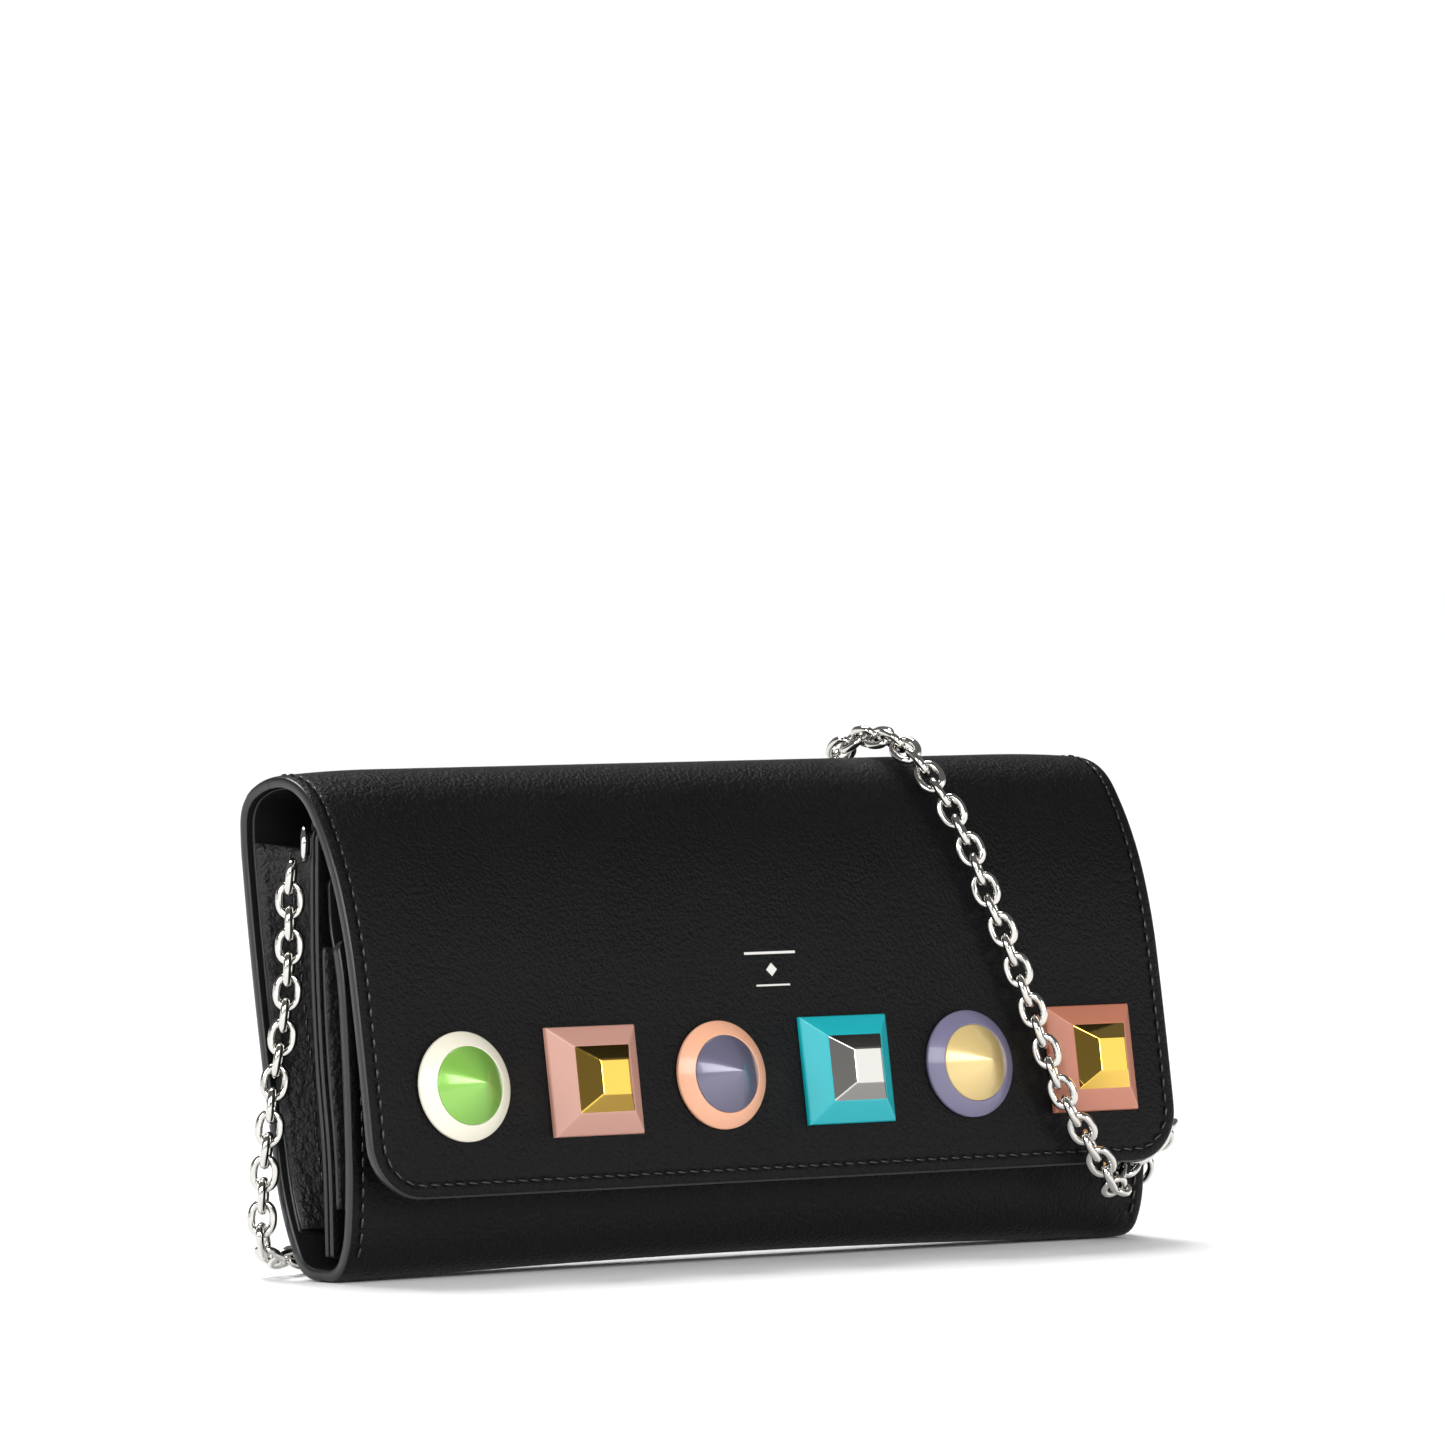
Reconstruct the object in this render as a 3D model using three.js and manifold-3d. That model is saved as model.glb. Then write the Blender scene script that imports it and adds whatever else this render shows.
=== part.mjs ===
// Chain wallet: a long flap wallet in black leather, standing on its spine, with six studs on
// the flap and a link chain that hangs from a ring at each end.
// Millimetres. +X is to the right seen from the front, -Y is the front, +Z is up.
// The origin is the centre of the footprint, on the surface that the wallet stands on.

import * as THREE from "three";
import { mergeVertices } from "three/addons/utils/BufferGeometryUtils.js";
import Module from "manifold-3d";

const wasm = await Module();
wasm.setup();

// ---- driving dimensions ----
const FLAP_WIDTH = 195;
const BODY_WIDTH = 193;
const LEATHER = 1.6;
const LINING = 0.7;
const GAP = 0.3;
const SPINE_CENTRE_Y = -0.65;
const FLAP_CORNER_RADIUS = 11;
const FLAP_EDGE_Z = 16.0;

// The outer face of the shell, seen from the right end, starting at the middle of the flat spine.
// Each entry is one stretch: its length, and the degrees that it turns by.
const BACK_STRETCHES = [
  [2, 0], [7.85, 60], [20, 17], [57.5, 5], [7, 8], [9.2, 60], [10.5, 30],
  [13.6, 52], [20, 18], [16, 9], [31, 2], [11, 8],
];
const FRONT_STRETCHES = [[2, 0], [6.7, -62], [7, -23], [14, -7], [30, -4], [11.5, -14]];
const FRONT_LINING_STRETCHES = [...FRONT_STRETCHES, [4, 16], [8.5, 0]];

// Places along the back outline, measured on the outer face from the middle of the spine.
const BACK_START = 8.3;
const BACK_BEND = 97.75;
const FRONT_BEND = 122.45;
const STUD_PLACE = 184.65;
const SNAP_PLACE = 194.5;
// Place along the front outline where the front leaf starts to lean out.
const LEAF_HINGE = 9.5;

const STUD_COUNT = 6;
const STUD_PITCH = 30.4;
const STUD_HEIGHT = 7.8;
const PYRAMID_BASE = 21;
const PYRAMID_MIDDLE = 12.9;
const PYRAMID_TIP = 6.7;
const PYRAMID_MIDDLE_HEIGHT = 4.2;
const RING_RADIUS = 10.5;
const CONE_RADIUS = 7.6;
const CONE_FOOT_HEIGHT = 2.6;
const STUD_RIM = 0.9;
const SCREW_RADIUS = 1.2;
const WASHER_RADIUS = 3.4;
const WASHER_THICKNESS = 0.8;
const SCREW_SEGMENTS = 16;
const STUD_SEGMENTS = 32;

const CHAIN_DIAMETER = 5.8;
const CHAIN_SIDES = 8;

// ---- materials ----
function paint(color, roughness, metalness) {
  return () => new THREE.MeshStandardMaterial({ color, roughness, metalness });
}
const blackLeather = paint(0x1d1d1d, 0.45, 0);
const blackLining = paint(0x17181b, 0.75, 0);
const blackZipTape = paint(0x141414, 0.9, 0);
const silver = paint(0xd9d9d6, 0.2, 1);
const gold = paint(0xd9b45a, 0.2, 1);
const RING_PAINTS = [paint(0xf1ecdc, 0.4, 0), paint(0xf3be9e, 0.4, 0), paint(0x7d7890, 0.4, 0)];
const CONE_PAINTS = [paint(0x8cc850, 0.35, 0), paint(0x6d6a80, 0.35, 0), paint(0xebd79b, 0.35, 0)];
const FRAME_PAINTS = [paint(0xc9a090, 0.4, 0), paint(0x00b4bc, 0.4, 0), paint(0xc8866a, 0.4, 0)];
const TIP_PAINTS = [gold, silver, gold];

// ---- geometry helpers ----
const radians = THREE.MathUtils.degToRad;

// Follows the stretches from a start point and heading, and gives points [y, z, heading, place].
const OUTLINE_STEP = 0.5;
function followOutline(start, heading, stretches) {
  const points = [[...start, heading, 0]];
  let [y, z] = start;
  let place = 0;
  for (const [length, turn] of stretches) {
    const count = Math.max(1, Math.round(length / OUTLINE_STEP));
    for (let i = 0; i < count; i += 1) {
      const angle = radians(heading + turn / count / 2);
      y += (length / count) * Math.cos(angle);
      z += (length / count) * Math.sin(angle);
      heading += turn / count;
      place += length / count;
      points.push([y, z, heading, place]);
    }
  }
  return points;
}

// The point at a place on an outline, moved inwards by depth. side is +1 where the inside is on
// the left of the way along the outline, and -1 where it is on the right.
function pointOn(outline, place, depth, side) {
  let i = 1;
  while (i < outline.length - 1 && outline[i][3] < place) i += 1;
  const [before, after] = [outline[i - 1], outline[i]];
  const t = THREE.MathUtils.clamp((place - before[3]) / (after[3] - before[3]), 0, 1);
  const [y, z, heading] = before.map((value, k) => value + (after[k] - value) * t);
  const angle = radians(heading);
  return [y - side * depth * Math.sin(angle), z + side * depth * Math.cos(angle)];
}

const backOutline = followOutline([SPINE_CENTRE_Y, 0], 0, BACK_STRETCHES);
const frontOutline = followOutline([SPINE_CENTRE_Y, 0], 180, FRONT_STRETCHES);
const frontLiningOutline = followOutline([SPINE_CENTRE_Y, 0], 180, FRONT_LINING_STRETCHES);

function headingAt(outline, place) {
  return outline.find((point) => point[3] >= place)[2];
}

// Merges the vertices of a geometry so that it is one closed mesh of positions only.
function close(geometry) {
  const merged = geometry.clone();
  merged.deleteAttribute("normal");
  merged.deleteAttribute("uv");
  return mergeVertices(merged, 1e-4);
}

function toSolid(geometry) {
  const merged = close(geometry);
  return new wasm.Manifold(new wasm.Mesh({
    numProp: 3,
    vertProperties: new Float32Array(merged.attributes.position.array),
    triVerts: new Uint32Array(merged.index.array),
  }));
}

function toGeometry(solid) {
  const mesh = solid.getMesh();
  const geometry = new THREE.BufferGeometry();
  geometry.setAttribute("position", new THREE.BufferAttribute(mesh.vertProperties, 3));
  geometry.setIndex(new THREE.BufferAttribute(mesh.triVerts, 1));
  return geometry;
}

// A shape drawn in (y, z) and stretched along X from -width/2 to width/2.
function acrossWidth(shape, width) {
  const geometry = new THREE.ExtrudeGeometry(shape, { depth: width, bevelEnabled: false });
  geometry.translate(0, 0, -width / 2);
  // local (x, y, z) -> world (z, x, y)
  geometry.applyMatrix4(new THREE.Matrix4().set(0, 0, 1, 0, 1, 0, 0, 0, 0, 1, 0, 0, 0, 0, 0, 1));
  return geometry;
}

function shapeOf(points) {
  return new THREE.Shape(points.map(([a, b]) => new THREE.Vector2(a, b)));
}

// A strip of sheet that follows an outline from one place to another, between two depths.
const STRIP_STEP = 2.5;
function stripShape(outline, side, from, to, outer, inner) {
  const count = Math.max(2, Math.ceil((to - from) / STRIP_STEP));
  const places = Array.from({ length: count + 1 }, (_, i) => from + ((to - from) * i) / count);
  const outerEdge = places.map((place) => pointOn(outline, place, outer, side));
  const innerEdge = places.map((place) => pointOn(outline, place, inner, side)).reverse();
  return shapeOf([...outerEdge, ...innerEdge]);
}

function backStrip(from, to, outer, inner, width) {
  return acrossWidth(stripShape(backOutline, 1, from, to, outer, inner), width);
}

function frontStrip(from, to, outer, inner, width, outline = frontOutline) {
  return acrossWidth(stripShape(outline, -1, from, to, outer, inner), width);
}

// A shape drawn in the front view (x, z), as a block deep enough to trim any sheet with.
const TRIM_DEPTH = 120;
const CORNER_SEGMENTS = 10;
function frontBlock(shape) {
  const geometry = new THREE.ExtrudeGeometry(shape, {
    depth: TRIM_DEPTH, bevelEnabled: false, curveSegments: CORNER_SEGMENTS,
  });
  geometry.translate(0, 0, -TRIM_DEPTH / 2);
  geometry.rotateX(Math.PI / 2);
  return toSolid(geometry);
}

// A front view outline with two round lower corners.
function roundedBlock(width, bottom, top, radius) {
  const cornerX = width / 2 - radius;
  const cornerZ = bottom + radius;
  const shape = new THREE.Shape();
  shape.moveTo(-width / 2, top);
  shape.lineTo(-width / 2, cornerZ);
  shape.absarc(-cornerX, cornerZ, radius, Math.PI, 1.5 * Math.PI, false);
  shape.absarc(cornerX, cornerZ, radius, 1.5 * Math.PI, 2 * Math.PI, false);
  shape.lineTo(width / 2, top);
  return frontBlock(shape);
}

function box(width, depth, height, x, y, z) {
  const geometry = new THREE.BoxGeometry(width, depth, height);
  geometry.translate(x, y, z);
  return geometry;
}

// A round piece about the local Z axis, from a closed profile of [radius, height] points.
function turned(profile, segments) {
  const points = profile.map(([r, h]) => new THREE.Vector2(r, h));
  const geometry = new THREE.LatheGeometry(points, segments);
  geometry.rotateX(Math.PI / 2);
  return geometry;
}

// A square frustum about the local Z axis.
function squareFrustum(bottomSide, topSide, bottom, top) {
  const geometry = new THREE.CylinderGeometry(
    topSide / Math.SQRT2, bottomSide / Math.SQRT2, top - bottom, 4,
  );
  geometry.rotateY(Math.PI / 4);
  geometry.rotateX(Math.PI / 2);
  geometry.translate(0, 0, (top + bottom) / 2);
  return geometry;
}

const wallet = new THREE.Group();

function addMesh(name, geometry, material, parent = wallet) {
  const mesh = new THREE.Mesh(close(geometry), material());
  mesh.name = name;
  parent.add(mesh);
  return mesh;
}

// ---- back, spine and front ----
const LINING_OUTER = LEATHER + GAP;
const LINING_INNER = LINING_OUTER + LINING;
const LINING_WIDTH = FLAP_WIDTH - 2;
const BACK_LINING_START = 14;
const FRONT_LINING_START = 15;
addMesh("back_panel", backStrip(BACK_START, BACK_BEND - GAP / 2, 0, LEATHER, FLAP_WIDTH), blackLeather);
addMesh(
  "back_lining",
  backStrip(BACK_LINING_START, BACK_BEND - GAP / 2, LINING_OUTER, LINING_INNER, LINING_WIDTH),
  blackLining,
);

const SPINE_STEPS = 8;
function spineShape() {
  const end = BACK_START - GAP;
  const start = LEAF_HINGE - GAP / 2;
  const places = Array.from({ length: SPINE_STEPS + 1 }, (_, i) => i / SPINE_STEPS);
  const edge = (depth) => [
    ...places.map((t) => pointOn(frontOutline, start * (1 - t), depth, -1)),
    ...places.slice(1).map((t) => pointOn(backOutline, end * t, depth, 1)),
  ];
  return shapeOf([...edge(0), ...edge(LEATHER).reverse()]);
}
addMesh("bottom_spine", acrossWidth(spineShape(), BODY_WIDTH), blackLeather);

const FRONT_END = FRONT_STRETCHES.reduce((sum, [length]) => sum + length, 0);
const FRONT_LINING_END = FRONT_LINING_STRETCHES.reduce((sum, [length]) => sum + length, 0);
addMesh(
  "front_panel",
  frontStrip(LEAF_HINGE + GAP / 2, FRONT_END, 0, LEATHER, BODY_WIDTH),
  blackLeather,
);
addMesh(
  "front_lining",
  frontStrip(
    FRONT_LINING_START, FRONT_LINING_END, LINING_OUTER, LINING_INNER, BODY_WIDTH - 1,
    frontLiningOutline,
  ),
  blackLining,
);

// Card pockets: stepped sheets, each lying on the one before it.
const SLOT_WIDTH = 158;
const SLOT_THICKNESS = 0.6;
const SLOT_STEP = SLOT_THICKNESS + GAP;
const SLOTS_DEPTH = LINING_INNER + GAP;
const BACK_SLOT_BOTTOM = 26;
const BACK_SLOT_TOPS = [84, 72, 60];
BACK_SLOT_TOPS.forEach((top, i) => {
  const depth = SLOTS_DEPTH + i * SLOT_STEP;
  addMesh(
    `back_card_slot_${i + 1}`,
    backStrip(BACK_SLOT_BOTTOM, top, depth, depth + SLOT_THICKNESS, SLOT_WIDTH),
    blackLining,
  );
});
const FRONT_SLOT_BOTTOM = 20;
const FRONT_SLOT_TOPS = [64, 52];
FRONT_SLOT_TOPS.forEach((top, i) => {
  const depth = SLOTS_DEPTH + i * SLOT_STEP;
  addMesh(
    `front_card_slot_${i + 1}`,
    frontStrip(
      FRONT_SLOT_BOTTOM, top, depth, depth + SLOT_THICKNESS, SLOT_WIDTH, frontLiningOutline,
    ),
    blackLining,
  );
});

// ---- middle pocket with its zip ----
const DIVIDER_BOTTOM_Z = 4.5;
const DIVIDER_TOP_Z = 86;
const ZIP_EDGE_Z = 81.3;
const ZIP_HALF_LENGTH = 84;
const ZIP_EAR_X = ZIP_HALF_LENGTH + 3;
const WALL = 1.0;
const WALL_GAP = 0.7;
const WALL_NEAR = WALL_GAP / 2;
const WALL_FACE = WALL_NEAR + WALL;
const DIVIDER_LINE = new THREE.SplineCurve([
  new THREE.Vector2(-2.8, DIVIDER_BOTTOM_Z),
  new THREE.Vector2(-1.9, 23),
  new THREE.Vector2(0.4, 40),
  new THREE.Vector2(1.9, 58),
  new THREE.Vector2(2.2, 72),
  new THREE.Vector2(2.1, DIVIDER_TOP_Z),
]);

const DIVIDER_LINE_STEPS = 60;
function dividerY(z) {
  const points = DIVIDER_LINE.getPoints(DIVIDER_LINE_STEPS);
  const i = Math.max(1, points.findIndex((point) => point.y >= z));
  const t = (z - points[i - 1].y) / (points[i].y - points[i - 1].y);
  return THREE.MathUtils.lerp(points[i - 1].x, points[i].x, t);
}

// Both walls stand up at their ends beside the zip.
function dividerTrim() {
  const half = BODY_WIDTH / 2;
  const shape = shapeOf([
    [-half, 0], [half, 0], [half, DIVIDER_TOP_Z], [ZIP_EAR_X, DIVIDER_TOP_Z],
    [ZIP_EAR_X, ZIP_EDGE_Z], [-ZIP_EAR_X, ZIP_EDGE_Z],
    [-ZIP_EAR_X, DIVIDER_TOP_Z], [-half, DIVIDER_TOP_Z],
  ]);
  return frontBlock(shape);
}

const DIVIDER_WALL_STEPS = 14;
function dividerWall(near, far) {
  const points = DIVIDER_LINE.getPoints(DIVIDER_WALL_STEPS);
  const shape = shapeOf([
    ...points.map((point) => [point.x + near, point.y]),
    ...points.map((point) => [point.x + far, point.y]).reverse(),
  ]);
  return toGeometry(toSolid(acrossWidth(shape, BODY_WIDTH)).intersect(dividerTrim()));
}
addMesh("divider_back_wall", dividerWall(WALL_NEAR, WALL_FACE), blackLeather);
addMesh("divider_front_wall", dividerWall(-WALL_FACE, -WALL_NEAR), blackLeather);

const ZIP_Y = 2.1;
const TAPE = 0.5;
const TAPE_HEIGHT = 7;
const TAPE_RISE = 1;
const TEETH_WIDTH = 2.4;
const TEETH_HEIGHT = 1.3;
const TEETH_Z = ZIP_EDGE_Z + GAP;
const STOP_HEIGHT = 1.6;
const tapeZ = ZIP_EDGE_Z + TAPE_RISE - TAPE_HEIGHT / 2;
const TAPE_OFFSET = 2.0;
addMesh(
  "zip_tape_back",
  box(2 * ZIP_HALF_LENGTH, TAPE, TAPE_HEIGHT, 0, ZIP_Y + TAPE_OFFSET, tapeZ),
  blackZipTape,
);
addMesh(
  "zip_tape_front",
  box(2 * ZIP_HALF_LENGTH, TAPE, TAPE_HEIGHT, 0, ZIP_Y - TAPE_OFFSET, tapeZ),
  blackZipTape,
);
const TEETH_HALF_LENGTH = 80;
const STOP_LENGTH = 2;
addMesh(
  "zip_teeth",
  box(2 * TEETH_HALF_LENGTH, TEETH_WIDTH, TEETH_HEIGHT, 0, ZIP_Y, TEETH_Z + TEETH_HEIGHT / 2),
  silver,
);
for (const [name, side] of [["left", -1], ["right", 1]]) {
  const x = side * (TEETH_HALF_LENGTH + GAP + STOP_LENGTH / 2);
  addMesh(
    `zip_stop_${name}`,
    box(STOP_LENGTH, TEETH_WIDTH, STOP_HEIGHT, x, ZIP_Y, TEETH_Z + TEETH_HEIGHT / 2),
    silver,
  );
}

const SLIDER_X = 74;
const SLIDER_LENGTH = 9;
const SLIDER_WIDTH = 4.6;
const SLIDER_THICKNESS = 1.4;
const sliderZ = TEETH_Z + TEETH_HEIGHT + GAP + SLIDER_THICKNESS / 2;
const BAIL_LENGTH = 2.2;
const BAIL_WIDTH = 3.6;
const BAIL_RISE = 1.2;
const BAIL_OFFSET_Y = 0.9;
const bailY = ZIP_Y + BAIL_OFFSET_Y;
const sliderPlate = box(SLIDER_LENGTH, SLIDER_WIDTH, SLIDER_THICKNESS, SLIDER_X, ZIP_Y, sliderZ);
const sliderBail = box(
  BAIL_LENGTH, BAIL_WIDTH, SLIDER_THICKNESS, SLIDER_X, bailY, sliderZ + BAIL_RISE,
);
addMesh("zip_slider", toGeometry(toSolid(sliderPlate).add(toSolid(sliderBail))), silver);
const PULL_WIDTH = 4;
const PULL_LENGTH = 17;
const PULL_THICKNESS = 0.9;
const PULL_Y = 5.75;
const PULL_TOP_Z = 85.5;
addMesh(
  "zip_pull",
  box(PULL_WIDTH, PULL_THICKNESS, PULL_LENGTH, SLIDER_X, PULL_Y, PULL_TOP_Z - PULL_LENGTH / 2),
  silver,
);

// ---- gussets ----
const GUSSET_OUTER_X = 95.5;
const GUSSET_SHEET = 0.9;
const GUSSET_INNER_X = GUSSET_OUTER_X - GUSSET_SHEET;
const GUSSET_STEPS = 10;
const GUSSET_CLEARANCE = 0.4;
// Fold place, and the heights of the lower and upper end.
const BACK_GUSSET = [84, 10, 74];
const FRONT_GUSSET = [88, 15, 62];

// A sheet folded once, between two faces whose distance changes with height.
function gusset(side, [foldX, bottom, top], nearY, farY) {
  const points = [
    [GUSSET_OUTER_X, 0], [foldX, 0.5], [GUSSET_OUTER_X, 1],
    [GUSSET_INNER_X, 1], [foldX - GUSSET_SHEET, 0.5], [GUSSET_INNER_X, 0],
  ].map(([x, u]) => [side * x, u]);
  const geometry = new THREE.ExtrudeGeometry(shapeOf(points), {
    depth: top - bottom, steps: GUSSET_STEPS, bevelEnabled: false,
  });
  const position = geometry.attributes.position;
  for (let i = 0; i < position.count; i += 1) {
    const z = bottom + position.getZ(i);
    const y = THREE.MathUtils.lerp(nearY(z), farY(z), position.getY(i));
    position.setXYZ(i, position.getX(i), y, z);
  }
  return geometry;
}

// The y of an outline's inner face at a height, going up from a place on it.
function faceY(outline, depth, side, from, z) {
  let place = from;
  while (pointOn(outline, place, depth, side)[1] < z && place < BACK_BEND) place += OUTLINE_STEP;
  return pointOn(outline, place, depth, side)[0];
}
for (const [name, side] of [["left", -1], ["right", 1]]) {
  addMesh(
    `gusset_back_${name}`,
    gusset(
      side, BACK_GUSSET,
      (z) => dividerY(z) + WALL_FACE + GUSSET_CLEARANCE,
      (z) => faceY(backOutline, LINING_INNER, 1, BACK_START, z) - GUSSET_CLEARANCE,
    ),
    blackLeather,
  );
  addMesh(
    `gusset_front_${name}`,
    gusset(
      side, FRONT_GUSSET,
      (z) => faceY(frontLiningOutline, LINING_INNER, -1, LEAF_HINGE, z) + GUSSET_CLEARANCE,
      (z) => dividerY(z) - WALL_FACE - GUSSET_CLEARANCE,
    ),
    blackLeather,
  );
}

// ---- chain anchors ----
const ANCHOR_Z = 82.6;
const ANCHOR_RING_X = 96.6;
const ANCHOR_RING_Y = 4.6;
const ANCHOR_RING_RADIUS = 3.1;
const ANCHOR_WIRE_RADIUS = 0.65;
const RING_WIRE_SEGMENTS = 8;
const RING_SEGMENTS = 24;
const TAB_Y = ANCHOR_RING_Y + ANCHOR_WIRE_RADIUS + GAP;
const TAB_THICKNESS = 0.9;
const TAB_LENGTH = 11;
const TAB_HEIGHT = 8;
const TAB_X = 89.2;
const RIVET_X = 89.3;
const RIVET_FOOT_Y = 3.9;
const RIVET_HOLE_RADIUS = 1.3;
// The rivet's shank and domed head, as [radius, height] from its foot.
const RIVET_PROFILE = [[0, 0], [1, 0], [1, 2.95], [2, 2.95], [1.6, 3.65], [0, 3.75]];
const RIVET_SEGMENTS = 16;

// A wire ring that lies in the X-Z plane, about the origin.
function wireRing(radius, wire) {
  const profile = [];
  for (let i = 0; i <= RING_WIRE_SEGMENTS; i += 1) {
    const angle = (i / RING_WIRE_SEGMENTS) * 2 * Math.PI;
    profile.push(new THREE.Vector2(radius + wire * Math.cos(angle), wire * Math.sin(angle)));
  }
  return new THREE.LatheGeometry(profile, RING_SEGMENTS);
}
for (const [name, side] of [["left", -1], ["right", 1]]) {
  const tabY = TAB_Y + TAB_THICKNESS / 2;
  const plate = toSolid(box(TAB_LENGTH, TAB_THICKNESS, TAB_HEIGHT, side * TAB_X, tabY, ANCHOR_Z));
  const hole = new THREE.CylinderGeometry(
    RIVET_HOLE_RADIUS, RIVET_HOLE_RADIUS, 4 * TAB_THICKNESS, RIVET_SEGMENTS,
  );
  hole.translate(side * RIVET_X, tabY, ANCHOR_Z);
  addMesh(`anchor_tab_${name}`, toGeometry(plate.subtract(toSolid(hole))), blackLeather);
  const rivet = turned(RIVET_PROFILE, RIVET_SEGMENTS);
  rivet.rotateX(-Math.PI / 2);
  rivet.translate(side * RIVET_X, RIVET_FOOT_Y, ANCHOR_Z);
  addMesh(`anchor_rivet_${name}`, rivet, silver);
  const ring = wireRing(ANCHOR_RING_RADIUS, ANCHOR_WIRE_RADIUS);
  ring.translate(side * ANCHOR_RING_X, ANCHOR_RING_Y, ANCHOR_Z);
  addMesh(`anchor_ring_${name}`, ring, silver);
}

// ---- flap ----
addMesh(
  "flap_bend",
  backStrip(BACK_BEND + GAP / 2, FRONT_BEND - GAP / 2, 0, LEATHER, FLAP_WIDTH),
  blackLeather,
);
addMesh(
  "flap_bend_lining",
  backStrip(BACK_BEND + GAP, FRONT_BEND - GAP, LINING_OUTER, LINING_INNER, LINING_WIDTH),
  blackLining,
);

const flapTilt = radians(headingAt(backOutline, STUD_PLACE) - 180);
const [studY, studZ] = pointOn(backOutline, STUD_PLACE, 0, 1);
function studX(index) {
  return (index - (STUD_COUNT - 1) / 2) * STUD_PITCH;
}

// Holes for the stud screws, square to the flap.
const HOLE_RADIUS = SCREW_RADIUS + GAP;
const HOLE_LENGTH = 12;
const HOLE_SEGMENTS = 12;
function screwHoles() {
  const holes = Array.from({ length: STUD_COUNT }, (_, i) => {
    const geometry = new THREE.CylinderGeometry(
      HOLE_RADIUS, HOLE_RADIUS, HOLE_LENGTH, HOLE_SEGMENTS,
    );
    geometry.rotateX(Math.PI / 2 + flapTilt);
    geometry.translate(studX(i), studY, studZ);
    return toSolid(geometry);
  });
  return holes.reduce((all, hole) => all.add(hole));
}
const FLAP_END = BACK_STRETCHES.reduce((sum, [length]) => sum + length, 0);
const FLAP_TRIM_TOP = 110;
const flapTrim = roundedBlock(FLAP_WIDTH, FLAP_EDGE_Z, FLAP_TRIM_TOP, FLAP_CORNER_RADIUS);
const flapSheet = toSolid(backStrip(FRONT_BEND + GAP / 2, FLAP_END, 0, LEATHER, FLAP_WIDTH));
addMesh(
  "flap_panel",
  toGeometry(flapSheet.intersect(flapTrim).subtract(screwHoles())),
  blackLeather,
);
const liningTrim = roundedBlock(
  LINING_WIDTH, FLAP_EDGE_Z + 1, FLAP_TRIM_TOP, FLAP_CORNER_RADIUS - 1,
);
const flapLiningSheet = toSolid(
  backStrip(FRONT_BEND + GAP, FLAP_END, LINING_OUTER, LINING_INNER, LINING_WIDTH),
);
addMesh(
  "flap_lining",
  toGeometry(flapLiningSheet.intersect(liningTrim).subtract(screwHoles())),
  blackLining,
);

// ---- studs ----
// Each stud stands square to the flap: round rings with cones take turns with square frames.
for (let i = 0; i < STUD_COUNT; i += 1) {
  const stud = new THREE.Group();
  stud.position.set(studX(i), studY, studZ);
  stud.rotation.x = flapTilt;
  wallet.add(stud);
  const kind = Math.floor(i / 2);
  if (i % 2 === 0) {
    const ring = turned([
      [CONE_RADIUS + GAP, GAP], [RING_RADIUS, GAP], [RING_RADIUS, STUD_RIM],
      [CONE_RADIUS + GAP, CONE_FOOT_HEIGHT], [CONE_RADIUS + GAP, GAP],
    ], STUD_SEGMENTS);
    addMesh(`stud_${i + 1}_ring`, ring, RING_PAINTS[kind], stud);
    const cone = turned([
      [0, GAP], [CONE_RADIUS, GAP], [CONE_RADIUS, CONE_FOOT_HEIGHT], [0, STUD_HEIGHT],
    ], STUD_SEGMENTS);
    addMesh(`stud_${i + 1}_cone`, cone, CONE_PAINTS[kind], stud);
  } else {
    const rim = toSolid(squareFrustum(PYRAMID_BASE, PYRAMID_BASE, GAP, STUD_RIM));
    const slope = toSolid(
      squareFrustum(PYRAMID_BASE, PYRAMID_MIDDLE, STUD_RIM, PYRAMID_MIDDLE_HEIGHT),
    );
    addMesh(`stud_${i + 1}_frame`, toGeometry(rim.add(slope)), FRAME_PAINTS[kind], stud);
    addMesh(
      `stud_${i + 1}_tip`,
      squareFrustum(PYRAMID_MIDDLE, PYRAMID_TIP, PYRAMID_MIDDLE_HEIGHT + GAP, STUD_HEIGHT),
      TIP_PAINTS[kind],
      stud,
    );
  }
  const washerTop = -LINING_INNER - GAP;
  const screw = turned([
    [0, washerTop - WASHER_THICKNESS], [WASHER_RADIUS, washerTop - WASHER_THICKNESS],
    [WASHER_RADIUS, washerTop], [SCREW_RADIUS, washerTop], [SCREW_RADIUS, 0], [0, 0],
  ], SCREW_SEGMENTS);
  addMesh(`stud_${i + 1}_screw`, screw, silver, stud);
}

// ---- magnetic snap ----
const SNAP_RADIUS = 6;
const SOCKET_THICKNESS = 2.2;
const POST_THICKNESS = 2.1;
const SNAP_SEGMENTS = 24;
const snapTilt = radians(headingAt(backOutline, SNAP_PLACE) - 180);
const [snapY, snapZ] = pointOn(backOutline, SNAP_PLACE, LINING_INNER + GAP, 1);

// A plain round disc about the local Z axis, between two heights.
function disc(bottom, top) {
  return turned([[0, bottom], [SNAP_RADIUS, bottom], [SNAP_RADIUS, top], [0, top]], SNAP_SEGMENTS);
}
const socket = addMesh("snap_socket", disc(-SOCKET_THICKNESS, 0), silver);
socket.position.set(0, snapY, snapZ);
socket.rotation.x = snapTilt;
const post = addMesh("snap_post", disc(0, POST_THICKNESS), silver);
post.position.set(0, faceY(frontOutline, 0, -1, LEAF_HINGE, snapZ) - GAP, snapZ);
post.rotation.x = Math.PI / 2;

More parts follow.
